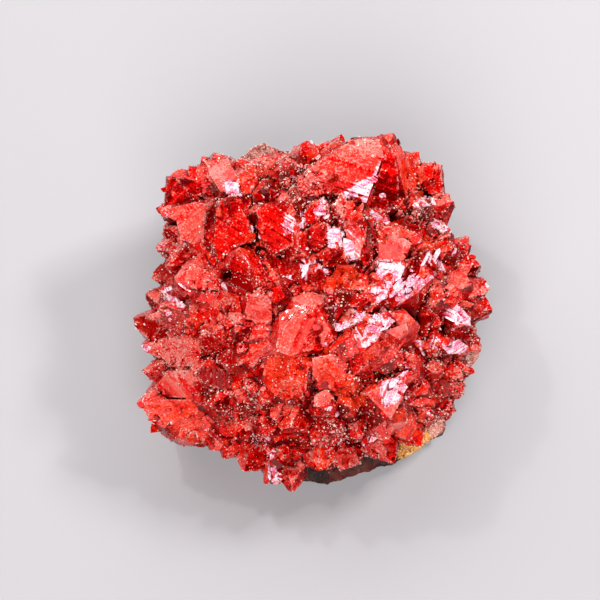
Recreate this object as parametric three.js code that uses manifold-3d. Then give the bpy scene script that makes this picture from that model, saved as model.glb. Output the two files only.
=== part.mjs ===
// A hematoid quartz specimen: a domed cluster of red quartz crystals, grown together into one crust,
// on the piece of iron-stained host rock that it grew on. The rock is broken off flat underneath, so
// the specimen lies on it with its crystals up.
//
// Units are millimetres. The part's frame has +Z up and its origin in the middle of the flat underside.
// The crystals are set out in the growth frame, whose origin is the middle of the cluster's widest
// section: u runs to the right, v to the back and w out of the crust. That frame leans forward by
// FACE_LEAN, so that the crust faces up and a little to the front.
import * as THREE from "three";
import { mergeVertices } from "three/addons/utils/BufferGeometryUtils.js";
import Module from "manifold-3d";

const wasm = await Module();
wasm.setup();

// The whole specimen.
const FACE_LEAN = THREE.MathUtils.degToRad(15);
const FACE_HEIGHT = 17; // the growth frame's origin above the underside
const DOME_HEIGHT = 21; // from the widest section to the highest tips
const DOME_RADIUS = 36;
const DOME_SQUARENESS = 2.4; // 2 is an ellipsoid, and more is flatter on top and steeper at the rim
const DOME_EDGE = 0.97; // past this share of the radius the dome stops falling
const FLOOR_CLEARANCE = 0.6; // the lowest crystal stays this far above the underside
const OUTLINE_STEP = 15; // degrees between the radii in OUTLINE
const OUTLINE = [
  37.0, 36.8, 34.8, 37.6, 36.8, 36.6, 36.0, 36.2, 37.0, 40.0, 36.4, 34.0,
  35.8, 35.2, 39.0, 36.8, 34.6, 36.0, 36.8, 32.8, 34.6, 36.4, 35.6, 36.2,
]; // the cluster's radius around the growth frame, from +u towards +v

// Quartz.
const MAJOR_ANGLE = THREE.MathUtils.degToRad(51.8); // a major slanting face's normal from the c axis
const STEEP_ANGLE = THREE.MathUtils.degToRad(66); // the steepest of the minor slanting faces
const PRISM_TAPER = THREE.MathUtils.degToRad(5); // the prism faces narrow towards the tip
const NARROW_PAIR = [0.5, 0.96]; // how much nearer the c axis one pair of prism faces is
const WIDTH_SPREAD = [1.2, 1.6]; // how far each prism face is off the half width
const MAJOR_RISE = [0, 0.1]; // how far a major face stands off the tip, over the half width
const MINOR_RISE = [0.04, 0.44];
const CRYSTAL_SLENDERNESS = 2.2; // its length below the crust's surface, over its half width
const CRYSTAL_LONGEST = 17;
const CRUST_INSET = 2.6; // the crust that the crystals stand on lies this far inside their tips
const CRUST_FLOOR = -7; // how far down the crust wraps around the rock, in the growth frame
const CRUST_FLARE = [0.96, 1.03]; // its reach at that floor, and halfway up to the widest section
const CRUST_SIDES = 30;
const CRUST_RINGS = 6;
const CRUST_LUMPS = 1.2;
const CRUST_SEED = 11;

// Host rock.
const ROCK_SIDES = 34;
const ROCK_LUMPS = 1.4;
const ROCK_SEED = 5;
const ROCK_TOP = -3.5; // the surface that the crust grew on, in the growth frame
const ROCK_GAP = 0.3; // between the rock and the crust
const ROCK_CROWN = 2.6; // how far its middle rises above that
const ROCK_TABLE = [0.72, 0.36]; // the shares of its reach where the crown is half up and all up
const ROCK_DENTS = [0.04, 0.06]; // how far the lumps move its walls, sideways and up
const ROCK_WALLS = [
  [0.84, 0],
  [0.93, 0.2],
  [0.98, 0.45],
  [1.0, 0.75],
]; // from the underside up: the share of the rim's reach, and of its height
const ROCK_REACH = 0.86; // of the cluster's radius
const ROCK_SHOWS = [
  [-66, 42, 0.22],
  [-12, 14, 0.08],
  [108, 15, 0.16],
]; // where the rock reaches further: direction and width in degrees, and how much

// The large crystals, one row each: the tip's u and v, the half width, the part of the c axis that
// points along u and v, the turn about the c axis in degrees, and how far the tip stands above the
// dome. A turn of 60 shows a large slanting face from above, 0 a small one and 30 the edge between.
const LARGE_CRYSTALS = [
  // the left flank, from the back to the front
  [-29.4, 28.2, 4.2, -0.62, 0.5, 20, 2],
  [-25.4, 30.2, 2.2, -0.45, 0.62, 60, 1],
  [-20.4, 32.4, 4.8, -0.2, 0.68, 62, 2.6],
  [-11.8, 30.0, 3.2, 0.28, 0.55, 30, 2],
  [-31.0, 21.2, 4.8, -0.72, 0.2, 50, 2],
  [-32.6, 13.2, 2.6, -0.85, -0.1, 30, 0],
  [-30.4, 9.6, 2.4, -0.8, -0.24, 10, 1],
  [-33.4, 7.2, 2.0, -0.9, -0.1, 60, -1],
  [-27.6, 7.0, 5.8, -0.7, -0.02, 30, 2.4],
  [-31.6, 4.8, 3.0, -0.74, 0.45, 25, 0],
  [-31.0, 1.0, 4.8, -0.7, 0.2, 40, 1],
  [-34.8, 3.8, 2.2, -0.86, 0.35, 10, -2],
  [-37.0, -1.2, 3.2, -0.88, 0.3, 30, 0],
  [-35.0, -6.6, 3.0, -0.86, 0.1, 20, 0],
  [-35.2, -12.2, 2.6, -0.9, 0.04, 0, 0],
  [-35.6, -18.6, 6.0, -0.8, -0.02, 30, 2],
  [-30.4, -24.6, 3.4, -0.76, -0.36, 30, 0],
  [-26.0, -26.4, 2.8, -0.6, -0.5, 10, 0],
  // the left half of the dome
  [-16.6, 23.0, 6.0, -0.1, 0.56, 18, 2.8],
  [-15.0, 12.8, 4.6, -0.14, 0.5, 22, 1.8],
  [-11.2, 3.4, 4.2, -0.02, 0.28, 45, 1],
  [-6.6, 3.6, 2.6, 0.1, 0.35, 20, 0.8],
  [-22.6, -4.4, 3.6, -0.55, 0.1, 15, 0],
  [-24.0, -12.0, 3.6, -0.62, 0.0, 40, 0],
  [-18.6, -10.0, 2.8, -0.45, -0.1, 50, -1],
  [-15.6, -4.0, 2.6, -0.3, 0.1, 30, -1],
  [-20.4, -19.4, 3.0, -0.5, -0.35, 25, 0],
  [-12.0, -11.0, 2.6, -0.25, -0.2, 5, -1.6],
  [-10.0, -18.0, 2.8, -0.15, -0.3, 40, -1],
  // the terrace along the back
  [-5.4, 31.4, 4.4, -0.1, 0.62, 62, 1],
  [-1.4, 35.4, 3.6, 0.0, 0.7, 30, 2],
  [5.4, 35.8, 4.6, 0.1, 0.7, 58, 0.6],
  [-9.6, 26.0, 4.0, -0.06, 0.5, 55, 0.4],
  [-0.6, 28.6, 4.6, 0.0, 0.56, 66, 0.6],
  [16.0, 36.4, 9.0, 0.26, 0.7, 24, 5.4],
  // the middle
  [-4.2, 22.0, 4.8, 0.06, 0.54, 36, 2.4],
  [-11.6, 20.6, 2.6, -0.08, 0.36, 18, 1],
  [1.8, 22.8, 2.8, 0.1, 0.6, 34, 2],
  [-3.2, 15.6, 3.6, 0.0, 0.3, 10, 1],
  [1.6, 17.2, 4.0, 0.02, 0.34, 48, 1],
  [6.4, 22.2, 2.7, 0.08, 0.56, 30, 1.6],
  [9.6, 20.4, 3.9, 0.06, 0.56, 30, 3],
  [5.0, 13.0, 3.2, 0.1, 0.3, 22, 1],
  [0.4, 8.4, 3.8, -0.04, 0.2, 20, -0.6],
  [7.0, 7.6, 3.8, 0.15, 0.2, 45, 0.5],
  [-2.5, 0.5, 3.4, -0.1, 0.4, 62, -1],
  [4.0, 4.0, 4.4, 0.0, 0.5, 35, 0.2],
  [8.6, -1.0, 3.0, 0.2, 0.1, 15, 1],
  [-7.4, -7.4, 4.4, -0.5, -0.5, 36, 1.4],
  [-4.4, -13.4, 4.8, -0.06, -0.12, 28, 0.6],
  [2.6, -11.4, 3.8, -0.06, -0.04, 50, 1],
  // the right half of the dome
  [19.2, 33.6, 2.6, 0.4, 0.68, 20, -3],
  [22.0, 33.0, 2.8, 0.42, 0.66, 45, -2],
  [20.2, 28.2, 3.0, 0.36, 0.5, 10, -1],
  [26.8, 30.4, 4.4, 0.54, 0.6, 35, -1],
  [29.2, 23.2, 3.2, 0.7, 0.42, 5, -1],
  [23.2, 23.0, 3.6, 0.32, 0.44, 0, 0],
  [28.4, 17.2, 2.8, 0.7, 0.16, 15, 0],
  [18.6, 23.0, 2.6, 0.3, 0.42, 40, -1],
  [13.2, 18.0, 2.4, 0.1, 0.6, 30, 0.6],
  [17.2, 17.2, 5.6, 0.26, 0.56, 56, 2.2],
  [19.6, 10.0, 4.2, 0.5, 0.4, 62, 1.4],
  [16.2, 6.4, 4.4, 0.46, 0.46, 52, 2],
  [21.4, 4.2, 3.0, 0.56, 0.4, 50, 1.2],
  [23.6, 8.2, 3.6, 0.5, 0.34, 48, 0.6],
  [24.6, 13.4, 3.2, 0.42, 0.3, 50, 0],
  [29.4, 13.6, 3.4, 0.6, 0.34, 8, 0],
  [32.6, 15.6, 2.4, 0.6, 0.6, 30, -1.6],
  [35.0, 9.8, 3.4, 0.8, 0.24, 33, 0],
  [36.8, 5.0, 2.8, 0.9, 0.1, 40, 0],
  [37.2, 0.6, 3.0, 0.9, -0.06, 20, 0],
  [32.4, 5.8, 4.4, 0.64, 0.06, 30, 1],
  [27.0, 3.4, 3.4, 0.4, 0.1, 33, 1],
  [32.4, -2.8, 3.6, 0.7, -0.2, 10, 1],
  [35.2, -6.8, 3.0, 0.8, -0.2, 45, 0],
  [28.0, -6.6, 4.2, 0.42, -0.2, 60, 1],
  [24.2, -1.2, 3.4, 0.36, 0.0, 25, 0],
  [20.6, -1.8, 5.2, 0.62, 0.2, 34, 2.4],
  [13.6, -1.4, 4.4, 0.4, 0.46, 60, 2],
  [16.8, -7.8, 2.8, 0.42, 0.34, 20, 0.6],
  [11.2, -8.4, 3.2, 0.34, 0.34, 48, 0.6],
  [20.4, -9.4, 3.2, 0.24, 0.2, 50, 0.6],
  [18.0, -13.4, 4.2, 0.4, 0.42, 58, 2],
  [23.6, -16.4, 3.4, 0.4, -0.1, 30, 0.6],
  [26.4, -12.4, 2.8, 0.5, -0.1, 10, 0],
  [31.2, -13.4, 3.2, 0.7, -0.25, 42, 0],
  [29.4, -19.8, 3.0, 0.74, -0.4, 20, 0],
  // the front
  [2.8, -18.6, 3.2, 0.0, -0.1, 60, 1],
  [7.6, -19.4, 3.0, 0.16, -0.16, 12, 0.8],
  [8.6, -13.4, 2.6, 0.3, 0.2, 35, 0.4],
  [4.6, -24.6, 3.0, 0.14, -0.4, 5, 1.5],
  [9.8, -25.6, 3.6, 0.1, -0.45, 22, 1],
  [14.8, -24.4, 3.2, 0.24, -0.4, 48, 1],
  [12.6, -19.0, 3.0, 0.16, -0.2, 8, 0],
  [20.4, -22.4, 3.2, 0.36, -0.42, 30, 0],
  [-4.2, -23.4, 3.6, -0.1, -0.4, 15, 0],
  [-10.8, -25.2, 3.4, -0.2, -0.45, 40, 0],
  [-16.0, -25.0, 3.2, -0.4, -0.5, 10, 0],
  [-22.8, -27.4, 3.4, -0.5, -0.6, 30, 0],
  [-18.4, -30.4, 2.8, -0.4, -0.68, 30, 0],
  [-14.0, -33.0, 3.2, -0.3, -0.72, 18, 1],
  [-8.0, -35.8, 3.0, -0.16, -0.8, 35, 1],
  [-4.2, -37.0, 3.2, -0.06, -0.8, 3, 1],
  [1.6, -32.6, 4.2, 0.06, -0.74, 25, 1],
  [8.0, -32.0, 3.8, 0.16, -0.74, 12, 1],
  [13.2, -30.4, 3.6, 0.22, -0.7, 42, 0.5],
  [25.6, -22.6, 2.8, 0.62, -0.5, 28, 0],
  // more along the rim
  [28.8, 16.4, 2.8, 0.8, 0.42, 30, 0],
  [-30.8, 17.4, 2.6, -0.85, 0.3, 20, 0.5],
  [33.6, -7.0, 3.2, 0.8, -0.16, 35, 0],
  [33.2, -12.4, 3.2, 0.78, -0.3, 50, 0.5],
  [31.4, -17.0, 3.2, 0.76, -0.4, 20, 0.5],
  [28.8, -21.6, 3.0, 0.7, -0.52, 40, 0],
  [22.6, -27.6, 3.4, 0.5, -0.66, 50, 0.5],
  [16.8, -31.2, 3.0, 0.4, -0.74, 20, 0],
];
const LARGE_SEED = 3;
const LEAST_UPRIGHT = 0.14; // the least part of a large crystal's c axis that points along w
const TWIN_FROM = 4.1; // a crystal this wide has a smaller one grown beside it, parallel to it
const TWIN_WIDTH = 0.6; // of its neighbour's width
const TWIN_DROP = 0.8; // of its neighbour's width, from tip to tip
const TWIN_OFFSET = [0.85, 1.05]; // of its neighbour's width, sideways

// The small crystals, which fill in between the large ones, and those around the rim below them.
const DOME_FILL = { count: 60, low: 1.8, high: 2.6, sunk: [1.0, 2.4], tilt: 0.3, seed: 7 };
const RIM_FILL = { count: 60, low: 2.2, high: 3.8, sunk: [1.2, 2.4], tilt: 0.5, seed: 21 };
const RIM_LEVELS = [-4.5, -1.5, 1.5]; // in the growth frame
const RIM_SCATTER = 1.6; // how much those levels vary
const RIM_STRAY = 0.6; // how far round one strays, over the spacing
const RIM_TILT = 0.1; // the rise of its c axis for each millimetre above the widest section
const RIM_UNDERCUT = 0.35; // the rim draws in by this much for each millimetre off the widest section

const FINEST_DETAIL = 0.06; // smaller steps and slivers are smoothed away

// A repeatable random number from 0 to 1.
function randomFrom(seed) {
  let state = seed;
  return () => {
    state = (state + 0x6d2b79f5) | 0;
    let t = Math.imul(state ^ (state >>> 15), 1 | state);
    t = (t + Math.imul(t ^ (t >>> 7), 61 | t)) ^ t;
    return ((t ^ (t >>> 14)) >>> 0) / 4294967296;
  };
}

// The cluster's radius in the direction of an angle in the growth frame.
function outlineRadius(angle) {
  const degrees = THREE.MathUtils.euclideanModulo(THREE.MathUtils.radToDeg(angle), 360);
  const place = degrees / OUTLINE_STEP;
  const low = Math.floor(place);
  const [from, to] = [OUTLINE[low % OUTLINE.length], OUTLINE[(low + 1) % OUTLINE.length]];
  return THREE.MathUtils.lerp(from, to, place - low);
}

// The height of the domed envelope that the tips reach, above the widest section.
function domeHeight(u, v) {
  const share = Math.hypot(u, v) / outlineRadius(Math.atan2(v, u));
  return DOME_HEIGHT * Math.sqrt(1 - Math.min(DOME_EDGE, share) ** DOME_SQUARENESS);
}

// Carries the growth frame into the part's frame.
const toPart = new THREE.Matrix4()
  .makeTranslation(0, 0, FACE_HEIGHT)
  .multiply(new THREE.Matrix4().makeRotationX(FACE_LEAN));

function toSolid(geometry) {
  geometry.deleteAttribute("normal");
  geometry.deleteAttribute("uv");
  const merged = mergeVertices(geometry, 1e-4);
  return new wasm.Manifold(
    new wasm.Mesh({
      numProp: 3,
      vertProperties: new Float32Array(merged.attributes.position.array),
      triVerts: new Uint32Array(merged.index.array),
    }),
  );
}

// The outer skin alone, without the pockets that the crystals close off between them.
function outerShell(solid) {
  const shells = solid.decompose();
  return shells.reduce((a, b) => (a.volume() > b.volume() ? a : b));
}

function toMesh(solid, name, material) {
  const { numProp, vertProperties, triVerts } = solid.getMesh();
  const positions = new Float32Array((vertProperties.length / numProp) * 3);
  for (let i = 0; i < positions.length / 3; i++)
    positions.set(vertProperties.subarray(i * numProp, i * numProp + 3), i * 3);
  const geometry = new THREE.BufferGeometry()
    .setAttribute("position", new THREE.BufferAttribute(positions, 3))
    .setIndex(new THREE.BufferAttribute(new Uint32Array(triVerts), 1));
  geometry.computeVertexNormals();
  const mesh = new THREE.Mesh(geometry, material);
  mesh.name = name;
  return mesh;
}

// A closed skin over a stack of rings of points, with a flat fan at each end.
function loft(rings) {
  const sides = rings[0].length;
  const points = rings.flat();
  const faces = [];
  for (let r = 0; r + 1 < rings.length; r++)
    for (let s = 0; s < sides; s++) {
      const a = r * sides + s;
      const b = r * sides + ((s + 1) % sides);
      faces.push(a, b, b + sides, a, b + sides, a + sides);
    }
  for (const [r, outward] of [
    [0, false],
    [rings.length - 1, true],
  ]) {
    const middle = rings[r]
      .reduce((sum, p) => sum.add(p), new THREE.Vector3())
      .divideScalar(sides);
    points.push(middle);
    for (let s = 0; s < sides; s++) {
      const a = r * sides + s;
      const b = r * sides + ((s + 1) % sides);
      faces.push(points.length - 1, outward ? a : b, outward ? b : a);
    }
  }
  return new THREE.BufferGeometry().setFromPoints(points).setIndex(faces);
}

// One quartz crystal, with its tip near the origin and its c axis along +Z: a block cut by the six
// faces of the prism and by six slanting faces. Every other slanting face, of the major rhombohedron,
// lies closer to the tip than its neighbours.
function crystal(radius, length, random) {
  let solid = toSolid(
    new THREE.BoxGeometry(6 * radius, 6 * radius, length + radius).translate(
      0,
      0,
      (radius - length) / 2,
    ),
  );
  const narrowPair = Math.floor(3 * random());
  const narrowness = THREE.MathUtils.lerp(...NARROW_PAIR, random());
  for (let side = 0; side < 6; side++) {
    const major = side % 2 === 0;
    const pair = side % 3 === narrowPair ? narrowness : 1;
    const width = radius * pair * THREE.MathUtils.lerp(...WIDTH_SPREAD, random());
    const rise = radius * THREE.MathUtils.lerp(...(major ? MAJOR_RISE : MINOR_RISE), random());
    const steepness = major ? 0 : random();
    const slant = THREE.MathUtils.lerp(MAJOR_ANGLE, STEEP_ANGLE, steepness);
    const turn = (side * Math.PI) / 3;
    for (const [angle, offset] of [
      [Math.PI / 2 - PRISM_TAPER, width],
      [slant, rise],
    ])
      solid = solid.trimByPlane(
        [
          -Math.sin(angle) * Math.cos(turn),
          -Math.sin(angle) * Math.sin(turn),
          -Math.cos(angle),
        ],
        -offset,
      );
  }
  return solid;
}

// A crystal with its tip and c axis given in the growth frame, moved into the part's frame.
function placedCrystal(tip, axis, radius, turn, random) {
  const length = Math.min(CRYSTAL_LONGEST, CRUST_INSET + CRYSTAL_SLENDERNESS * radius);
  const place = new THREE.Matrix4()
    .makeRotationFromQuaternion(
      new THREE.Quaternion().setFromUnitVectors(
        new THREE.Vector3(0, 0, 1),
        axis.clone().normalize(),
      ),
    )
    .multiply(new THREE.Matrix4().makeRotationZ(turn))
    .setPosition(tip);
  return crystal(radius, length, random).transform(
    toPart.clone().multiply(place).elements,
  );
}

function largeCrystals() {
  const random = randomFrom(LARGE_SEED);
  return LARGE_CRYSTALS.flatMap(([u, v, radius, leanU, leanV, turn, lift]) => {
    const tip = new THREE.Vector3(u, v, domeHeight(u, v) + lift);
    const upright = Math.sqrt(Math.max(LEAST_UPRIGHT ** 2, 1 - leanU ** 2 - leanV ** 2));
    const axis = new THREE.Vector3(leanU, leanV, upright).normalize();
    const roll = Math.atan2(leanV, leanU) + THREE.MathUtils.degToRad(turn);
    const own = placedCrystal(tip, axis, radius, roll, random);
    if (radius < TWIN_FROM) return own;
    const beside = new THREE.Vector3(axis.z, 0, -axis.x)
      .normalize()
      .applyAxisAngle(axis, 2 * Math.PI * random())
      .multiplyScalar(THREE.MathUtils.lerp(...TWIN_OFFSET, random()) * radius);
    const twinTip = tip.clone().add(beside).addScaledVector(axis, -TWIN_DROP * radius);
    return [own, placedCrystal(twinTip, axis, TWIN_WIDTH * radius, roll, random)];
  });
}

// One of the small crystals: its tip is sunk along its axis, which tilts at random off the way out.
function smallCrystal(place, wayOut, { low, high, sunk, tilt }, random) {
  const axis = wayOut
    .clone()
    .normalize()
    .add(new THREE.Vector3(random() - 0.5, random() - 0.5, random() - 0.5).multiplyScalar(tilt))
    .normalize();
  const tip = place.clone().addScaledVector(axis, -THREE.MathUtils.lerp(...sunk, random()));
  const radius = THREE.MathUtils.lerp(low, high, random());
  return placedCrystal(tip, axis, radius, random() * Math.PI, random);
}

// Small crystals on a sunflower spiral over the dome, each leaning as the dome does there.
function domeFill() {
  const random = randomFrom(DOME_FILL.seed);
  const golden = Math.PI * (3 - Math.sqrt(5));
  return Array.from({ length: DOME_FILL.count }, (_, i) => {
    const angle = i * golden;
    const reach = DOME_EDGE * Math.sqrt((i + 0.5) / DOME_FILL.count) * outlineRadius(angle);
    const [u, v] = [reach * Math.cos(angle), reach * Math.sin(angle)];
    const w = domeHeight(u, v);
    const wayOut = new THREE.Vector3(u / DOME_RADIUS ** 2, v / DOME_RADIUS ** 2, w / DOME_HEIGHT ** 2);
    return smallCrystal(new THREE.Vector3(u, v, w), wayOut, DOME_FILL, random);
  });
}

// Small crystals around the rim, near the widest section and below it, pointing outwards.
function rimFill() {
  const random = randomFrom(RIM_FILL.seed);
  return Array.from({ length: RIM_FILL.count }, (_, i) => {
    const angle = ((i + RIM_STRAY * random()) / RIM_FILL.count) * 2 * Math.PI;
    const w = RIM_LEVELS[i % RIM_LEVELS.length] + RIM_SCATTER * (random() - 0.5);
    const reach = outlineRadius(angle) - RIM_UNDERCUT * Math.abs(w);
    const place = new THREE.Vector3(reach * Math.cos(angle), reach * Math.sin(angle), w);
    const wayOut = new THREE.Vector3(Math.cos(angle), Math.sin(angle), RIM_TILT * w);
    return smallCrystal(place, wayOut, RIM_FILL, random);
  });
}

// The lumpy crust that all the crystals stand on.
function crust() {
  const random = randomFrom(CRUST_SEED);
  const ring = (share, w) =>
    Array.from({ length: CRUST_SIDES }, (_, s) => {
      const angle = (s / CRUST_SIDES) * 2 * Math.PI;
      const reach = share * (outlineRadius(angle) - CRUST_INSET + CRUST_LUMPS * (random() - 0.5));
      const height = w + CRUST_LUMPS * (random() - 0.5);
      return new THREE.Vector3(reach * Math.cos(angle), reach * Math.sin(angle), height);
    });
  const [underneath, halfway] = CRUST_FLARE;
  const rings = [ring(underneath, CRUST_FLOOR), ring(halfway, CRUST_FLOOR / 2)];
  for (let r = 0; r < CRUST_RINGS; r++) {
    const climb = (r / CRUST_RINGS) * (Math.PI / 2);
    rings.push(ring(Math.cos(climb), (DOME_HEIGHT - CRUST_INSET) * Math.sin(climb)));
  }
  return toSolid(loft(rings).applyMatrix4(toPart));
}

// The host rock: a rough block whose top lies along the crust and whose underside is flat. It shows
// past the crystals where its reach is over 1: along the front right, and a little at the back left.
function rockReach(angle) {
  const degrees = THREE.MathUtils.radToDeg(angle);
  return ROCK_SHOWS.reduce((reach, [middle, width, more]) => {
    const away = THREE.MathUtils.euclideanModulo(degrees - middle + 180, 360) - 180;
    return reach + more * Math.exp(-((away / width) ** 2));
  }, ROCK_REACH);
}

// The rock, or with grow the rock and that much space around it.
function rock(grow) {
  const random = randomFrom(ROCK_SEED);
  const lump = () => ROCK_LUMPS * (random() - 0.5);
  const rim = Array.from({ length: ROCK_SIDES }, (_, s) => {
    const angle = (s / ROCK_SIDES) * 2 * Math.PI;
    return { angle, reach: rockReach(angle) * outlineRadius(angle) + lump() };
  });
  const top = (share, rise) =>
    rim.map(({ angle, reach }) =>
      new THREE.Vector3(
        (reach * share + grow) * Math.cos(angle),
        (reach * share + grow) * Math.sin(angle),
        ROCK_TOP + rise + lump() + grow,
      ).applyMatrix4(toPart),
    );
  const edge = top(1, 0);
  const [sideways, up] = ROCK_DENTS;
  const level = (share, height) =>
    edge.map((p) => {
      const out = share + sideways * lump() + grow / Math.hypot(p.x, p.y);
      const climb = height + up * lump();
      return new THREE.Vector3(p.x * out, p.y * out, height === 0 ? 0 : p.z * climb);
    });
  const walls = ROCK_WALLS.map(([share, height]) => level(share, height));
  const [half, whole] = ROCK_TABLE;
  return toSolid(loft([...walls, edge, top(half, ROCK_CROWN / 2), top(whole, ROCK_CROWN)]));
}

const quartzMaterial = new THREE.MeshStandardMaterial({
  color: 0xb3150c,
  roughness: 0.22,
  metalness: 0,
});
const rockMaterial = new THREE.MeshStandardMaterial({
  color: 0x4a352b,
  roughness: 0.9,
  metalness: 0,
});

const wayUp = new THREE.Vector3(0, 0, 1).transformDirection(toPart);
const crustFloor = new THREE.Vector3(0, 0, CRUST_FLOOR).applyMatrix4(toPart).dot(wayUp);
const quartzSolid = wasm.Manifold.union([
  crust(),
  ...largeCrystals(),
  ...domeFill(),
  ...rimFill(),
])
  .trimByPlane(wayUp.toArray(), crustFloor)
  .subtract(rock(ROCK_GAP))
  .trimByPlane([0, 0, 1], FLOOR_CLEARANCE)
  .simplify(FINEST_DETAIL);

const specimen = new THREE.Group();
specimen.add(toMesh(outerShell(quartzSolid), "quartz_crystals", quartzMaterial));
specimen.add(toMesh(rock(0), "host_rock", rockMaterial));

export default specimen;
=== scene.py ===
import math

import bmesh
import bpy
import numpy as np
from bpy.props import FloatProperty, FloatVectorProperty, IntProperty, PointerProperty
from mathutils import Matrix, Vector


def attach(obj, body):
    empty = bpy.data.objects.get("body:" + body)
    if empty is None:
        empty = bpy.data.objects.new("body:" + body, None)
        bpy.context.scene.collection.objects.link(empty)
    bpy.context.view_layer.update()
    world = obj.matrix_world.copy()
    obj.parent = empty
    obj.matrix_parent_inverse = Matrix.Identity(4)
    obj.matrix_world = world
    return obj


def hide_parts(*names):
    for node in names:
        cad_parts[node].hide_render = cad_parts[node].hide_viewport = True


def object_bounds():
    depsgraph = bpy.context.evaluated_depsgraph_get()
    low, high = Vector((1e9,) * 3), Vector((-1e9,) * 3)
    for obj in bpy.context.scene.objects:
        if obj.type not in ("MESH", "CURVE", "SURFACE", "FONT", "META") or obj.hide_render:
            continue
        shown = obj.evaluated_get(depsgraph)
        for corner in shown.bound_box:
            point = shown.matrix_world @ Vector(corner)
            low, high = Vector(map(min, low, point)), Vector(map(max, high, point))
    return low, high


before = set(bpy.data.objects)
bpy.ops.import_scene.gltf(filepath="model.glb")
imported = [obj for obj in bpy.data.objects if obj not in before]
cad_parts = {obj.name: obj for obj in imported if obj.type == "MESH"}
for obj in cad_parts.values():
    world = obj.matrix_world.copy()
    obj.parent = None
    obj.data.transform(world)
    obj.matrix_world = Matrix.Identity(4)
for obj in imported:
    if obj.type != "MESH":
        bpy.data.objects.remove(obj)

bl_info = {
    "name": "Hematoid Quartz Specimen",
    "version": (1, 0, 0),
    "blender": (4, 5, 0),
    "location": "View3D > Sidebar > Specimen",
    "description": "Builds a cluster of red quartz crystals on its host rock",
    "category": "Add Mesh",
}

MM = 0.001
SOLID_BOX = [list(corner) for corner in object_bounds()]

# The growth frame: its origin is the middle of the cluster's widest section, u runs to the right,
# v to the back and w out of the crust. It leans forward over the flat underside.
FACE_LEAN = math.radians(15)
FACE_HEIGHT = 17 * MM
DOME_RADIUS = 36 * MM
DOME_HEIGHT = 21 * MM
GROWTH_AXES = np.array(
    [
        [1, 0, 0],
        [0, math.cos(FACE_LEAN), math.sin(FACE_LEAN)],
        [0, -math.sin(FACE_LEAN), math.cos(FACE_LEAN)],
    ]
)
GROWTH_ORIGIN = np.array([0, 0, FACE_HEIGHT])
MAJOR_ANGLE = math.radians(51.8)  # a major slanting face's normal from the c axis
# Painted sheen: the facets that face the way on the next line are painted palest, in place of the broad
# light's reflection.
PAINTED_SHEEN_WAY = np.array([-0.35, 0.60, 0.72])  # in u, v, w: the way the palest, dustiest facets face
FLASH_WAY = np.array([0.34, 0.32, 0.88])  # in u, v, w: the way a facet faces when it catches the main light

# How the crust's faces are worn, besides the settings' own ripple and terraces.
TERRACE_SPACING = 1.7 * MM
CHIP_DEPTH = 0.25 * MM
BLUNTED_EDGE = 0.12 * MM
PIT_DEPTH = 2.2 * MM

# How the broad faces lie on the crust, with lengths in millimetres.
FITTED_DEPTH = 3.0  # a face is first fitted to the crust down to this far under its middle height,
JUST_UNDER = 0.4  # and then to what is no further than this below the fit
HELD_LEVEL = 3.0  # the weight that pulls the fit towards level
STEEPEST = 1.1  # the steepest slope, as height over distance
HIGHEST_LIFT = 0.2
FOOT_WIDTH = 1.1  # where the top's width is 1
LONGEST_DROP = 2.2  # from the top to the foot
STAINED_DEPTH = 2.0  # how far under a face the crust's own facets take its stain

# The rock: the height up to which its foot stays flat, and the longest edge of its mesh.
FLAT_FOOT = 1.5 * MM
ROCK_EDGE = 0.7 * MM

# The stage: half the floor's width, and the view's middle in u, v, w in millimetres and its width.
FLOOR_REACH = 3.0
VIEW_MIDDLE = (-2.52, 2.52, 0.0)
VIEW_WIDTH = 126 * MM

# Zones of the crust, each a u, a v and a radius in millimetres. The granular ones are thick with grains, the
# dusty ones have a pale film, the pits are dents, and in the clean ones, on the largest faces, little grows.
# Painted highlights: in these zones the facets that face the main light are painted pale, as white glints.
PAINTED_GLINTS = [
    (1.3, 21.8, 2.2), (-1.9, 19.3, 1.5), (4.4, 15.1, 2.8), (7.6, 13.0, 2.8), (15.5, 8.4, 3.4),
    (16.0, 4.2, 4.4), (20.6, 6.7, 2.6), (13.9, -1.9, 3.2), (12.9, 25.8, 2.0), (23.3, 22.0, 2.6),
    (25.8, 18.1, 2.0), (14.3, 18.5, 2.0), (29.4, -6.9, 3.4), (29.6, -1.3, 2.8), (16.6, -16.0, 3.4),
    (12.4, -26.0, 1.8), (-18.3, 25.2, 2.0), (-26.3, 6.7, 2.0), (-28.1, 2.5, 1.6), (-15.5, 9.2, 1.6),
    (-6.1, -6.9, 1.6), (-10.9, -26.3, 2.2), (-8.0, -32.3, 2.2), (25.2, 10.6, 1.8),
]
# Painted shade: in these zones the crust is painted dark crimson, in the pits and where shadows fall between
# crystals.
PAINTED_SHADE_ZONES = [
    (27.5, -3.4, 1.8), (-29.6, 16.4, 1.6), (-0.4, 26.7, 1.8), (-11.3, -23.9, 1.8), (-0.2, -34.4, 2.4),
    (-13.7, 32.6, 1.4), (-17.6, 7.6, 2.0), (-32.8, -2.9, 2.4), (-23.1, -17.4, 2.2), (16.6, 25.6, 3.6),
    (-18.9, 17.6, 3.0), (-3.8, 7.8, 4.0), (6.9, 2.3, 4.0), (-26.5, 3.2, 2.4), (31.3, 12.6, 2.2),
    (34.4, 6.3, 2.6), (31.7, -4.6, 2.2), (21.5, 1.0, 3.0), (19.0, -6.5, 2.6), (-31.0, 9.0, 2.6),
    (-26.0, 12.2, 2.4), (-30.5, -3.0, 2.6), (-21.5, -5.0, 2.8), (-31.0, -13.0, 2.2), (-21.0, -14.0, 2.6),
    (-17.0, -9.0, 3.2), (-14.0, 6.0, 2.6),
]
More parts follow.
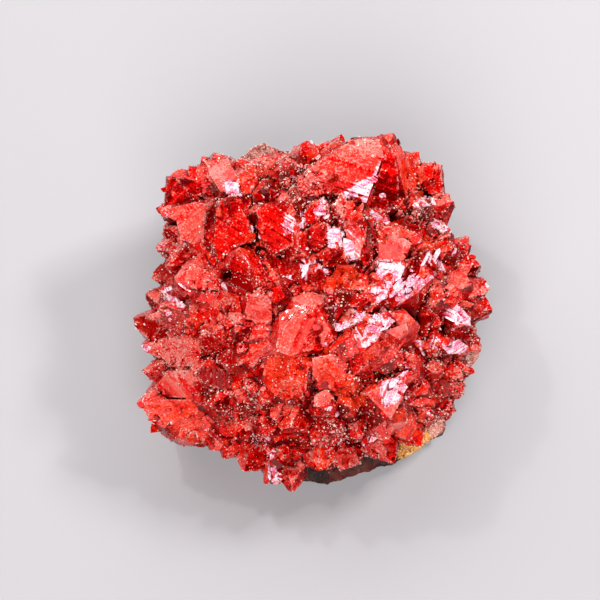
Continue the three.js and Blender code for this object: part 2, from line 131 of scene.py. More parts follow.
ORANGE = [
    (20.2, 28.3, 5.0), (16.6, 16.2, 3.6), (-10.5, 30.0, 3.4), (6.6, 5.5, 4.2), (-5.3, -11.0, 5.0),
    (2.9, -10.0, 3.6), (19.9, -22.7, 4.4), (-27.7, -18.8, 3.8), (-25.2, -24.4, 4.0), (24.5, 13.6, 3.0),
    (-27.8, 30.4, 2.4), (-12.0, 14.0, 3.0), (12.0, -4.8, 3.0), (8.0, -17.0, 3.4),
]
# Pale salmon patches, partly painted sheen where the broad light would reflect.
SALMON_SHEEN = [
    (4.8, 28.8, 7.0), (-24.8, 18.2, 4.8), (-18.3, 28.3, 3.6), (-24.6, 7.8, 3.6), (-28.2, -8.5, 5.2),
    (-27.3, -14.6, 4.0), (-11.0, 0.3, 3.6), (-3.0, -4.0, 4.0), (16.4, -4.8, 3.6), (14.8, -24.0, 2.6),
    (7.6, 15.1, 3.2), (-7.6, 15.1, 3.0), (16.6, 12.8, 3.6), (28.4, 3.3, 2.6), (32.8, 9.0, 2.4),
    (13.9, -29.3, 3.2), (6.8, -31.0, 3.2), (10.5, 31.0, 4.0), (0.5, -17.5, 2.4),
]
GRANULAR = [
    (-12.5, 32.6, 4.0), (-7.0, 33.6, 3.0), (34.0, -8.5, 3.6), (31.5, -15.0, 3.6), (29.2, 15.5, 2.8),
    (26.0, -23.5, 3.4), (-3.0, 27.0, 4.0), (-31.0, 13.0, 3.0), (14.3, 18.5, 3.0), (-10.9, -26.3, 3.0),
    (-14.0, -19.0, 5.0), (4.0, -25.0, 4.0), (25.6, -9.0, 3.0), (22.5, 21.0, 3.6), (-27.0, -4.6, 3.0),
]
DUSTY = [
    (-12.5, 31.0, 5.0), (-5.0, 32.0, 4.0), (-30.0, 15.0, 5.0), (-29.0, 1.0, 5.5), (-28.0, -9.0, 5.0),
    (-1.0, 26.0, 5.0), (33.0, -9.0, 3.6), (31.0, -15.0, 3.6), (22.5, 20.5, 3.6), (10.0, 33.0, 4.0),
    (-9.0, 4.0, 3.6), (-17.0, -3.0, 3.6), (26.0, -22.0, 3.0), (-20.0, 29.0, 4.0), (5.0, 20.0, 3.6),
]
PITS = [(27.6, -3.4, 1.9), (-11.3, -23.9, 1.4), (16.8, 19.6, 1.6), (-17.6, 7.6, 1.4), (-0.4, -33.6, 1.6)]
CLEAN = [
    (8.0, 28.8, 6.5), (15.2, 28.0, 6.0), (-25.0, 18.3, 5.0), (-17.2, 17.2, 6.0), (8.8, 14.6, 3.4),
    (16.8, 12.0, 5.0), (-3.1, -4.4, 5.0), (-28.0, -17.4, 6.0), (-26.7, 5.7, 4.0), (-7.6, 16.8, 4.6),
    (-10.9, 0.4, 4.0), (3.2, -11.6, 3.6), (16.6, -16.0, 3.4), (-18.0, 28.0, 4.5), (-27.8, 25.8, 4.6),
    (19.0, -3.0, 4.0), (29.4, -7.0, 3.0), (24.0, 28.0, 3.0), (32.0, 6.0, 3.0), (18.6, -24.0, 3.4),
]

# The broad faces of the largest crystals: each one's stain and its outline's corners, u and v in mm.
FACES = [
    ("pink_sheen", [(15.8, 35.7), (8.4, 35.5), (2.7, 31.9), (-3.4, 27.3), (-2.5, 23.5), (3.8, 24.4), (8.4, 22.7),
              (11.0, 22.4)]),
    ("deep", [(16.1, 35.0), (17.6, 29.6), (17.9, 22.6), (15.0, 20.6), (11.2, 21.6)]),
    ("orange", [(18.4, 33.4), (20.4, 33.2), (22.7, 30.5), (22.3, 25.4), (19.2, 23.5)]),
    ("salmon", [(-22.5, 31.5), (-17.6, 31.9), (-15.5, 28.1), (-15.1, 24.4), (-18.9, 24.8), (-21.0, 28.1)]),
    ("dark", [(-24.2, 29.8), (-22.5, 31.3), (-20.8, 27.7), (-18.9, 24.4), (-22.3, 23.9), (-23.9, 25.6)]),
    ("frost", [(-18.1, 26.9), (-15.1, 26.5), (-14.9, 23.9), (-17.6, 24.2)]),
    ("deep", [(-30.2, 28.1), (-27.7, 27.7), (-25.2, 24.4), (-24.4, 22.7), (-30.7, 21.8)]),
    ("salmon", [(-30.7, 21.4), (-24.4, 22.7), (-20.8, 22.3), (-22.7, 17.6), (-23.5, 13.7), (-27.3, 15.1),
                (-28.1, 18.9)]),
    ("red", [(-18.9, 22.7), (-15.1, 22.3), (-13.0, 18.5), (-12.2, 14.7), (-16.0, 13.0), (-18.9, 10.5),
             (-20.2, 13.6), (-19.8, 17.8)]),
    ("dark", [(-19.3, 22.7), (-22.0, 20.0), (-22.4, 14.0), (-19.4, 10.3), (-20.5, 13.6), (-20.1, 17.8)]),
    ("red", [(-10.5, 21.8), (-5.5, 22.5), (-3.4, 18.9), (-2.9, 14.3), (-7.6, 11.8), (-10.5, 15.1),
             (-11.8, 18.9)]),
    ("frost", [(2.3, 23.3), (2.7, 19.7), (-0.8, 19.7)]),
    ("frost", [(-1.3, 20.8), (-1.0, 18.9), (-2.7, 17.6)]),
    ("salmon", [(5.9, 24.4), (8.0, 21.0), (6.3, 18.5), (4.4, 21.8)]),
    ("salmon", [(8.0, 20.2), (9.9, 20.4), (9.7, 10.5), (7.1, 13.0), (6.7, 17.2)]),
    ("dark", [(10.1, 20.6), (11.6, 18.9), (12.2, 10.5), (10.3, 8.8)]),
    ("frost", [(2.9, 16.8), (5.5, 17.2), (6.1, 13.4), (4.6, 12.2), (3.2, 13.9)]),
    ("frost", [(6.3, 15.1), (9.0, 14.3), (9.5, 10.9), (7.6, 10.5), (5.9, 13.0)]),
    ("orange", [(12.6, 16.8), (16.8, 17.4), (21.0, 16.0), (22.3, 14.3), (17.6, 15.5), (13.0, 14.9)]),
    ("salmon", [(13.4, 14.7), (18.5, 15.1), (20.2, 13.9), (18.5, 10.5), (13.4, 10.5)]),
    ("frost", [(13.7, 10.3), (18.9, 9.4), (17.6, 6.6), (15.5, 5.9), (12.6, 7.1)]),
    ("dark", [(18.9, 10.5), (23.5, 12.6), (24.8, 11.3), (20.6, 5.9), (17.6, 4.6)]),
    ("frost", [(12.6, 4.2), (16.8, 5.5), (17.6, 4.4), (13.4, 2.1)]),
    ("frost", [(17.2, 2.5), (20.2, 4.6), (20.6, 4.0), (17.2, 1.5)]),
    ("orange", [(2.1, 5.5), (6.7, 6.7), (10.5, 6.3), (10.9, 4.6), (5.9, 4.6), (2.5, 3.8)]),
    ("dark", [(2.5, 3.7), (6.9, 4.3), (11.8, 2.9), (12.2, 0.8), (6.9, 1.3), (2.9, 0.8)]),
    ("salmon", [(-13.0, 3.8), (-8.4, 3.4), (-8.2, -1.3), (-10.5, -3.4), (-13.7, 0.0)]),
    ("salmon", [(-3.4, -0.2), (1.3, -1.3), (1.7, -4.6), (-1.7, -8.0), (-6.9, -7.6), (-5.9, -2.9)]),
    ("frost", [(11.3, -1.3), (14.3, 0.0), (16.6, -1.7), (14.9, -3.4), (11.8, -4.2)]),
    ("frost", [(8.0, -0.4), (10.5, 0.2), (11.3, -1.3), (8.4, -2.1)]),
    ("frost", [(8.6, -2.9), (10.1, -2.7), (13.0, -5.5), (10.5, -6.3), (8.8, -5.0)]),
    ("frost", [(4.6, -2.3), (7.4, -1.7), (7.4, -2.9), (5.3, -3.8)]),
    ("salmon", [(15.1, -3.6), (18.9, -2.1), (19.3, -3.8), (16.0, -7.1), (12.6, -8.4), (13.4, -5.9)]),
    ("dark", [(13.4, -10.9), (18.0, -7.6), (18.5, -10.1), (15.1, -12.6)]),
    ("orange", [(18.0, -8.0), (20.4, -8.4), (20.8, -11.3), (19.3, -14.3), (17.6, -12.2)]),
    ("frost", [(14.1, -13.9), (17.6, -13.0), (19.3, -15.1), (17.6, -17.6), (14.7, -18.9), (13.9, -16.4)]),
    ("dark", [(19.3, -16.0), (22.3, -13.9), (20.2, -16.8), (18.0, -18.5)]),
    ("frost", [(26.5, -7.1), (30.0, -5.5), (32.3, -7.1), (31.5, -8.4), (28.1, -8.6)]),
    ("frost", [(26.5, 0.0), (28.4, 0.2), (31.1, -1.7), (31.9, -2.7), (29.0, -2.1)]),
    ("dark", [(29.4, -3.4), (32.8, -2.9), (34.2, -5.0), (31.9, -6.3), (29.8, -5.0)]),
    ("salmon", [(30.0, 10.1), (33.4, 9.9), (32.0, 7.6)]),
    ("dark", [(30.7, 14.5), (32.3, 13.9), (32.6, 11.3), (30.2, 10.5)]),
    ("orange", [(22.7, 13.0), (26.0, 14.7), (29.0, 14.5), (28.1, 13.0), (24.8, 12.2)]),
    ("salmon", [(26.0, 3.4), (28.1, 4.6), (30.5, 3.8), (29.8, 1.9), (26.9, 1.9)]),
    ("red", [(23.5, 30.7), (25.6, 31.3), (27.1, 29.0), (27.3, 24.4), (24.4, 24.8), (23.1, 27.7)]),
    ("frost", [(21.0, 22.7), (25.2, 23.3), (25.6, 22.1), (21.0, 21.6)]),
    ("frost", [(24.4, 18.5), (25.6, 18.5), (27.7, 17.2), (25.2, 17.4)]),
    ("salmon", [(-27.7, 6.9), (-24.4, 9.7), (-21.0, 8.4), (-18.9, 4.6), (-23.5, 4.6), (-26.5, 6.1)]),
    ("red", [(-27.7, 6.5), (-26.5, 5.6), (-23.5, 4.2), (-18.9, 4.2), (-20.2, 1.7), (-24.4, 2.5)]),
    ("frost", [(-31.3, 4.6), (-30.2, 4.6), (-26.0, 1.5), (-26.5, 0.6), (-29.8, 2.5)]),
    ("salmon", [(-31.9, -5.5), (-25.6, -4.6), (-22.7, -7.1), (-23.1, -10.9), (-29.4, -11.3), (-32.3, -8.4)]),
    ("salmon", [(-29.8, -12.2), (-23.9, -11.8), (-22.7, -15.5), (-23.5, -17.6), (-32.3, -17.6),
                (-33.2, -16.0)]),
    ("orange", [(-32.3, -18.1), (-23.5, -18.1), (-23.9, -21.4), (-28.6, -22.7), (-32.3, -20.2)]),
    ("orange", [(-9.7, -9.2), (-4.6, -8.4), (-0.8, -10.5), (-1.3, -16.0), (-5.5, -18.1), (-10.1, -15.1)]),
    ("orange", [(0.0, -9.2), (4.2, -8.4), (7.1, -10.5), (6.3, -14.7), (2.1, -15.5), (0.0, -12.6)]),
    ("salmon", [(0.4, -16.8), (2.9, -15.5), (4.2, -17.2), (2.5, -19.3), (0.4, -18.9)]),
    ("salmon", [(13.0, -23.5), (15.1, -21.8), (16.6, -23.5), (15.5, -26.5), (13.4, -26.0)]),
    ("orange", [(17.2, -21.4), (20.2, -20.6), (21.8, -23.5), (20.2, -26.5), (17.2, -25.6)]),
    ("salmon", [(4.4, -28.6), (8.4, -28.0), (10.0, -31.5), (5.9, -32.8)]),
    ("orange", [(0.0, -28.0), (3.8, -28.4), (3.4, -31.5), (0.4, -32.2)]),
    ("frost", [(11.6, -26.9), (12.2, -25.6), (13.7, -25.0), (13.0, -26.5)]),
    ("orange", [(-27.7, -23.5), (-24.4, -22.7), (-18.1, -28.1), (-20.2, -29.0)]),
    ("frost", [(-8.8, -29.4), (-8.0, -29.0), (-7.1, -34.9), (-8.4, -35.3)]),
    ("orange", [(-0.8, 34.0), (2.9, 35.5), (5.9, 34.7), (5.0, 31.9), (0.0, 30.7)]),
    ("orange", [(-16.0, 27.3), (-12.6, 30.7), (-10.5, 29.4), (-12.6, 24.4), (-15.5, 23.9)]),
    ("dark", [(24.8, -18.1), (28.1, -17.6), (30.0, -20.6), (28.6, -21.4), (25.6, -20.2)]),
    ("salmon", [(19.3, -18.9), (22.7, -17.2), (24.8, -18.1), (22.3, -19.3)]),
]

# Painted highlights: patches of white glint on whatever lies there and faces the main light, with no face of
# their own: outlines of u and v in mm.
PAINTED_SHEENS = [
    [(14.9, 32.0), (14.3, 29.0), (11.4, 22.2), (9.6, 22.5)],
    [(9.0, 25.6), (11.2, 27.4), (10.4, 24.6), (8.0, 23.6), (6.8, 24.0)],
    [(-5.6, 20.0), (-4.6, 20.8), (-4.2, 16.4), (-5.4, 15.8)],
    [(-2.0, 10.0), (2.8, 10.4), (3.0, 7.0), (-1.0, 6.6)],
    [(9.0, -4.5), (13.0, -4.0), (13.9, -7.0), (10.5, -7.4)],
    [(20.5, 5.5), (23.5, 8.5), (24.5, 7.5), (21.5, 4.5)],
    [(4.6, 18.0), (8.2, 17.4), (8.4, 14.2), (5.5, 15.0)],
    [(-15.5, 10.4), (-13.6, 10.8), (-13.2, 7.4), (-15.0, 7.0)],
    [(-12.0, -25.0), (-9.6, -24.6), (-9.0, -28.0), (-11.6, -28.4)],
    [(21.8, -6.0), (25.0, -5.0), (26.0, -7.6), (23.0, -8.6)],
]

# Each stain's tone, orange, salmon and glint, and how far these take the place of the face's own. The dark
# and deep stains are painted shade on faces turned from the light, pink and salmon are partly painted sheen,
# the glint stain is a painted highlight, and the side stain darkens the broad faces' sloping sides.
STAINS = {
    "none": (0.0, 0.0, 0.0, 0.0, 0.0),
    "side": (0.2, 0.0, 0.0, 0.0, 0.6),
    "dark": (0.14, 0.0, 0.0, 0.0, 0.9),
    "deep": (0.16, 0.0, 0.0, 0.0, 1.0),
    "red": (0.48, 0.0, 0.0, 0.0, 0.9),
    "orange": (0.62, 0.9, 0.0, 0.0, 0.9),
    "salmon": (0.72, 0.0, 0.8, 0.0, 0.9),
    "pink_sheen": (0.46, 0.0, 0.35, 0.0, 0.9),
    "frost": (0.80, 0.0, 0.4, 1.0, 0.9),
}

# The share of the crust under a broad face that lies below it: the usual one, and some stains' own.
USUAL_COVER = 0.90
COVER = {"orange": 0.62, "pink_sheen": 0.94, "deep": 0.96}

# Stairs of parallel blades: the middle's u and v, the way the blades run in degrees from u towards v,
# how many there are, half their length and the step from one to the next in millimetres.
STAIRS = [
    (17.6, 4.6, 40, 4, 2.8, 0.8), (21.2, 6.6, 48, 4, 3.0, 0.8), (15.2, -6.4, 47, 4, 3.8, 0.9),
    (18.4, -13.6, 42, 3, 2.6, 0.8), (28.4, -0.6, -28, 3, 2.2, 0.8), (-26.8, 4.6, 150, 3, 2.2, 0.8),
    (24.0, 11.0, 60, 3, 2.2, 0.8), (8.4, 20.0, 64, 3, 3.0, 0.9), (-8.2, -32.0, 78, 2, 2.6, 0.8),
]

# Where the rock has its pale rind, its ochre patch and its loose grains: each zone's middle in u, v, w and
# its radius, in millimetres. Then the colours of the grains there, from the darkest to the palest.
RIND = [((-12.0, 33.0, 0.0), 9.0), ((34.0, -9.0, -3.0), 8.0), ((27.0, -24.0, -3.0), 5.0)]
OCHRE = [((21.6, -28.6, -3.0), 5.0), ((23.5, -26.5, -2.5), 3.0)]
WHOLE_ROCK = [((0.0, 0.0, 0.0), 60.0)]
RIND_COLOURS = [
    (0.14, 0.01, 0.006), (0.60, 0.12, 0.07), (0.80, 0.30, 0.22), (0.90, 0.52, 0.42), (0.95, 0.80, 0.68),
]
OCHRE_COLOURS = [
    (0.10, 0.02, 0.004), (0.50, 0.16, 0.02), (0.85, 0.38, 0.05), (0.95, 0.55, 0.12), (0.98, 0.80, 0.45),
]
ROCK_COLOURS = [
    (0.006, 0.003, 0.003), (0.03, 0.01, 0.008), (0.09, 0.03, 0.02), (0.20, 0.07, 0.05), (0.40, 0.22, 0.17),
]


# ---------------------------------------------------------------- places and noise


def in_growth_frame(points):
    """The points' u, v and w: their offsets from the growth origin along the three growth axes."""
    return (points - GROWTH_ORIGIN) @ GROWTH_AXES.T


def on_part(places):
    """Places in the part's frame, from their u, v and w in millimetres."""
    return GROWTH_ORIGIN + np.asarray(places) * MM @ GROWTH_AXES


def unit(vectors):
    """The vectors, each divided by its length."""
    return vectors / np.maximum(np.linalg.norm(vectors, axis=-1, keepdims=True), 1e-12)


def facing(normals, way):
    """How squarely normals face a way given in u, v and w: the cosine of the angle between."""
    return normals @ GROWTH_AXES.T @ way


def growth_direction(points):
    """The way the crust grows at each point: the gradient of an ellipsoid as wide and high as the dome."""
    u, v, w = in_growth_frame(points).T
    way = np.stack([u / DOME_RADIUS**2, v / DOME_RADIUS**2, np.maximum(w, 0) / DOME_HEIGHT**2], 1)
    return unit(way @ GROWTH_AXES + 1e-9)


def smooth(values, low, high):
    """0 below low, 1 above high and a smooth rise between."""
    part = np.clip((values - low) / (high - low), 0, 1)
    return part * part * (3 - 2 * part)


def hash_of(cells, seed):
    """A repeatable random number from 0 to 1 for each row of whole numbers."""
    mixed = cells.astype(np.int64) @ np.array([73856093, 19349663, 83492791]) + seed * 2654435761
    mixed = (mixed ^ (mixed >> 13)) * 1274126177 & 0xFFFFFFFF
    mixed = (mixed ^ (mixed >> 16)) * 2246822519 & 0xFFFFFFFF
    return ((mixed ^ (mixed >> 15)) & 0xFFFFFF) / 0xFFFFFF


def number_hash(count, seed):
    """A repeatable random number from 0 to 1 for each whole number below count."""
    return hash_of(np.repeat(np.arange(count)[:, None], 3, 1), seed)


def soft_noise(points, size, seed):
    """Value noise from -1 to 1: random numbers on a grid of that size, smoothly interpolated between."""
    place = points / size
    low = np.floor(place)
    part = place - low
    part = part * part * (3 - 2 * part)
    total = np.zeros(len(points))
    for corner in np.ndindex(2, 2, 2):
        weight = np.prod(np.where(corner, part, 1 - part), axis=1)
        total += weight * hash_of(low + corner, seed)
    return total * 2 - 1


def chip_noise(points, size, seed):
    """Broken steps from 0 to 1: each point takes the number of the nearest of a jittered grid's seeds."""
    low = np.floor(points / size)
    best = np.full(len(points), np.inf)
    value = np.zeros(len(points))
    for corner in np.ndindex(3, 3, 3):
        cell = low + corner - 1
        jitter = np.stack([hash_of(cell, seed + k) for k in (1, 2, 3)], 1)
        away = np.linalg.norm((cell + jitter) * size - points, axis=1)
        value = np.where(away < best, hash_of(cell, seed), value)
        best = np.minimum(best, away)
    return value


# ---------------------------------------------------------------- zones and outlines


def in_zones(points, zones, ragged=0.8):
    """How far each point is inside a list of zones: about 0 outside and up to 1 within, ragged between."""
    u, v, _ = in_growth_frame(points).T / MM
    inside = np.zeros(len(points))
    for zone_u, zone_v, radius in zones:
        inside = np.maximum(inside, 1 - np.hypot(u - zone_u, v - zone_v) / radius)
    return smooth(inside + 0.22 * ragged * soft_noise(points, 1.8 * MM, 40), -0.05, 0.35)


def in_pits(points):
    """0 outside the pits and 1 in their middles."""
    return smooth(in_zones(points, PITS, 0), 0.1, 1.0)


def zone_layers(points):
    """How far each point is inside the zones that the finishes read."""
    return {
        # The dark layer is painted shade, in the pits and between crystals.
        "dark": in_zones(points, PAINTED_SHADE_ZONES),
        "orange": in_zones(points, ORANGE),
        "salmon": in_zones(points, SALMON_SHEEN),
        "granular": in_zones(points, GRANULAR),
        "dusty": in_zones(points, DUSTY),
        "rough": 1 - 0.9 * in_zones(points, CLEAN),
    }


def glinting(normals, middles):
    """How much painted glint each facet has: a painted highlight on those in the glint zones that face
    FLASH_WAY.
    """
    return in_zones(middles, PAINTED_GLINTS, 0) * smooth(facing(normals, FLASH_WAY), 0.76, 0.9)


def inside_outline(places, ring):
    """Which places lie inside an outline: those whose rays to the right cross it an odd number of times."""
    inside = np.zeros(len(places), bool)
    for (u, v), (next_u, next_v) in zip(ring, np.roll(ring, -1, 0)):
        spans = (places[:, 1] < v) != (places[:, 1] < next_v)
        cross = u + (places[:, 1] - v) * (next_u - u) / (next_v - v + 1e-12)
        inside ^= spans & (places[:, 0] < cross)
    return inside


def inset(places, rings):
    """How far inside the nearest of some outlines each place is: negative outside all of them."""
    deepest = np.full(len(places), -9.0)
    for ring in rings:
        away = np.full(len(places), 9.0)
        for start, end in zip(ring, np.roll(ring, -1, 0)):
            run = end - start
            share = np.clip((places - start) @ run / (run @ run), 0, 1)
            away = np.minimum(away, np.hypot(*(places - start - share[:, None] * run).T))
        deepest = np.maximum(deepest, np.where(inside_outline(places, ring), away, -away))
    return deepest


def hollowness(points, reach):
    """How far each point lies below its surroundings, in metres: the mean top around it, less its own height.

    Height is the distance from the growth origin, measured in the dome's own radius and height. The
    points are laid out on an equal-area chart of the dome, the tops are the highest points in the
    chart's cells, and their mean is a Gaussian blur as wide as reach.
    """
    way = in_growth_frame(points) / [DOME_RADIUS, DOME_RADIUS, DOME_HEIGHT]
    height = np.linalg.norm(way, axis=1)
    way /= height[:, None]
    chart = way[:, :2] * np.sqrt(2 / (1 + np.maximum(way[:, 2:], -0.6)))
    cells, width = 200, 4.0
    row, column = np.clip((chart / width + 0.5) * cells, 0, cells - 1).astype(int).T
    top = np.zeros((cells, cells))
    np.maximum.at(top, (row, column), height)
    frequency = np.fft.fftfreq(cells)[:, None] ** 2 + np.fft.rfftfreq(cells)[None] ** 2
    blur = np.exp(-2 * (math.pi * reach / DOME_RADIUS * cells / width) ** 2 * frequency)
    grids = (top, (top > 0) * 1.0)
    total, filled = (np.fft.irfft2(np.fft.rfft2(grid) * blur, (cells, cells)) for grid in grids)
    mean = total / np.maximum(filled, 1e-3)
    return (mean[row, column] - height) * 0.5 * (DOME_RADIUS + DOME_HEIGHT)


# ---------------------------------------------------------------- meshes


def read(collection, name, width=1, kind=np.float64):
    """A property of every item of a collection, as one array with a row of that width for each."""
    values = np.empty(len(collection) * width, kind)
    collection.foreach_get(name, values)
    return values.reshape(-1, width) if width > 1 else values


def stored(mesh, name, kind=np.float64):
    """A layer's value for each point, corner or face it lies on."""
    return read(mesh.attributes[name].data, "value", 1, kind)


def corner_points(mesh):
    """The number of the point at each corner of the faces."""
    return read(mesh.loops, "vertex_index", 1, np.int32)


def facets(mesh):
    """Each face's normal and middle."""
    return read(mesh.polygons, "normal", 3), read(mesh.polygons, "center", 3)


def face_mean(mesh, name):
    """A corner or point layer's mean over the corners of each triangle."""
    values = stored(mesh, name)
    if mesh.attributes[name].domain == "POINT":
        values = values[corner_points(mesh)]
    return values.reshape(-1, 3).mean(1)


def point_mean(corners, values, count):
    """Each point's mean of a value held by the corners around it."""
    return np.bincount(corners, values, count) / np.maximum(np.bincount(corners, minlength=count), 1)


def store(mesh, domain, **layers):
    """Add the layers, one value for each point, corner or face as the domain says."""
    for name, values in layers.items():
        layer = mesh.attributes.new(name, "FLOAT", domain)
        layer.data.foreach_set("value", np.asarray(values, np.float32))


def mesh_of(name, points, corners, sizes):
    """A mesh from whole arrays: points, the faces' corners end to end, and each face's number of corners."""
    mesh = bpy.data.meshes.new(name)
    mesh.vertices.add(len(points))
    mesh.vertices.foreach_set("co", points.astype(np.float32).ravel())
    mesh.loops.add(len(corners))
    mesh.loops.foreach_set("vertex_index", corners.astype(np.int32))
    mesh.polygons.add(len(sizes))
    mesh.polygons.foreach_set("loop_start", (np.cumsum(sizes) - sizes).astype(np.int32))
    mesh.update(calc_edges=True)
    mesh.validate()
    mesh.shade_flat()
    return mesh


def placed_piece(name, mesh, finish):
    """An object with that mesh, in one finish."""
    mesh.materials.append(finish)
    piece = bpy.data.objects.new(name, mesh)
    bpy.context.scene.collection.objects.link(piece)
    return piece


def new_piece(name, points, corners, sizes, finish):
    """An object whose mesh is made by mesh_of from those arrays, in one finish."""
    return placed_piece(name, mesh_of(name, points, corners, sizes), finish)


def finish_piece(piece, slot, *nodes):
    """Put a piece on its body, and have it stand for the solids it is made from. The slot is not used."""
    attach(piece, "root")
    if nodes:
        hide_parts(*nodes)
    return {"FINISHED"}


def whole_faces(node, name, flat=math.radians(0.5)):
    """A welded copy of a solid's triangles, with the neighbours that lie flat joined into whole faces."""
    mesh = bpy.data.meshes.new(name)
    work = bmesh.new()
    work.from_mesh(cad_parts[node].data)
    bmesh.ops.remove_doubles(work, verts=work.verts, dist=0.002 * MM)
    bmesh.ops.dissolve_limit(work, angle_limit=flat, verts=work.verts, edges=work.edges)
    work.to_mesh(mesh)
    work.free()
    return mesh


def refined(mesh, longest, rounds=5):
    """The mesh in triangles, with the edges that are longer than longest halved in each round.

    An edge between faces that all look down is left as it is, since it's out of sight.
    Its layer "facet" keeps the number of the face that each triangle was cut from.
    """
    facet = mesh.attributes.new("facet", "INT", "FACE")
    facet.data.foreach_set("value", np.arange(len(mesh.polygons), dtype=np.int32))
    work = bmesh.new()
    work.from_mesh(mesh)
    bmesh.ops.triangulate(work, faces=work.faces)
    for _ in range(rounds):
        work.normal_update()
        open_edges = [edge for edge in work.edges if max(face.normal.z for face in edge.link_faces) > -0.3]
        long_edges = [edge for edge in open_edges if edge.calc_length() > longest]
        bmesh.ops.subdivide_edges(work, edges=long_edges, cuts=1)
        bmesh.ops.triangulate(work, faces=[face for face in work.faces if len(face.verts) > 3])
    work.to_mesh(mesh)
    work.free()
    return mesh


def edge_sharpness(mesh, points):
    """How far each point stands proud of its neighbours' mean, over their distance: above 0 on a ridge."""
    ends = read(mesh.edges, "vertices", 2, np.int32)
    a, b = np.concatenate([ends, ends[:, ::-1]]).T
    count = np.maximum(np.bincount(a, minlength=len(points)), 1)
    gap = points[b] - points[a]
    mean = np.stack([np.bincount(a, gap[:, k], len(points)) for k in range(3)], 1) / count[:, None]
    length = np.bincount(a, np.linalg.norm(gap, axis=1), len(points)) / count
    return -np.sum(mean * read(mesh.vertices, "normal", 3), 1) / np.maximum(length, 1e-9)


def crust_mesh():
    """The dressed large crystals, which the smaller pieces grow on."""
    if "crystal_faces" not in bpy.data.objects:
        raise RuntimeError("Make the large crystals first")
    return bpy.data.objects["crystal_faces"].data


# ---------------------------------------------------------------- the large crystals' faces


def crust_plane(crust, cover):
    """A plane laid on part of the crust: its slope along u and v, and its height at the growth origin.

    It is the best fit to the crust's higher part, held back a little towards level and never steeper
    than STEEPEST. It is then lifted or lowered until the share of the crust called cover lies below it.
    """
    high = crust[crust[:, 2] > np.median(crust[:, 2]) - FITTED_DEPTH]
    for _ in range(3):
        centre = high.mean(0)
        run = np.concatenate([high[:, :2] - centre[:2], HELD_LEVEL * np.eye(2)])
        slope = np.linalg.lstsq(run, np.append(high[:, 2] - centre[2], [0, 0]), rcond=None)[0]
        slope *= min(1, STEEPEST / np.hypot(*slope))
        above = crust[:, 2] - centre[2] - (crust[:, :2] - centre[:2]) @ slope
        high = crust[above > -JUST_UNDER]
    return slope, centre[2] - centre[:2] @ slope + np.percentile(above, 100 * cover)


def with_broad_faces(mesh, lumps):
    """The mesh with the broad faces laid on it: flat polygons with sloping sides.

    A face lies on the crust_plane of the crust inside its outline, or up to HIGHEST_LIFT above it. Its
    foot is wider and reaches down into the crust, further under a larger face.
    Also returns each face's stain, as a row of STAINS: the crust's faces inside an outline take its own.
    """
    crust = in_growth_frame(lumps) / MM
    middles = in_growth_frame(read(mesh.polygons, "center", 3)) / MM
    taken = np.array([STAINS["none"]] * len(middles))
    rng = np.random.default_rng(17)
    rings, corners, sizes, stains = [], [], [], []
    start = len(mesh.vertices)
    for stain, outline in FACES:
        ring = np.array(outline)
        middle = ring.mean(0)
        turn = np.cross(ring - middle, np.roll(ring, -1, 0) - middle).sum()
        ring = ring if turn > 0 else ring[::-1]
        foot = middle + (ring - middle) * FOOT_WIDTH
        under = crust[inside_outline(crust[:, :2], foot)]
        slope, base = crust_plane(under, COVER.get(stain, USUAL_COVER))
        level = ring @ slope + base + rng.uniform(0.0, HIGHEST_LIFT)
        sunk = middles[:, :2] @ slope + base - middles[:, 2]
        taken[inside_outline(middles[:, :2], ring) & (sunk < STAINED_DEPTH)] = STAINS[stain]
        drop = min(0.7 + 0.25 * np.linalg.norm(ring - middle, axis=1).max(), LONGEST_DROP)
        rings += [np.column_stack([ring, level]), np.column_stack([foot, level - drop])]
        count = len(ring)
        top, low = np.arange(start, start + count), np.arange(start + count, start + 2 * count)
        sides = np.stack([np.roll(top, -1), top, low, np.roll(low, -1)], 1)
        corners += [top, low[::-1], sides.ravel()]
        sizes += [count, count] + [4] * count
        stains += [STAINS[stain]] + [STAINS["side"]] * (count + 1)
        start += 2 * count
    laid = on_part(np.concatenate(rings))
    whole = mesh_of(
        mesh.name,
        np.concatenate([read(mesh.vertices, "co", 3), np.clip(laid, *SOLID_BOX)]),
        np.concatenate([corner_points(mesh), *corners]),
        np.concatenate([read(mesh.polygons, "loop_total", 1, np.int32), sizes]),
    )
    return whole, np.concatenate([taken, stains])


def own_tints(normals, middles, stains):
    """Each facet's tone and two kinds of painted glint: all over it, and inside the glints' outlines only.

    A facet turned towards the broad light is painted paler, a painted sheen. One with a stain takes the
    stain's tone and glint.
    """
    tone, _, _, frost, laid = stains.T
    # The tone: random, plus a painted sheen on facets turned towards the broad light. The glints: painted
    # highlights on facets that face the main light.
    tones = 0.5 * number_hash(len(normals), 1) + 0.6 * smooth(facing(normals, PAINTED_SHEEN_WAY), 0.5, 1.0) - 0.05
    tones = np.clip(tones, 0, 1)
    flashing = smooth(facing(normals, FLASH_WAY), 0.5, 0.8) * ((laid == 0) | (tone > 0.3))
    everywhere = glinting(normals, middles) * (laid == 0)
    return tones + laid * (tone - tones), everywhere, np.maximum(frost, flashing)


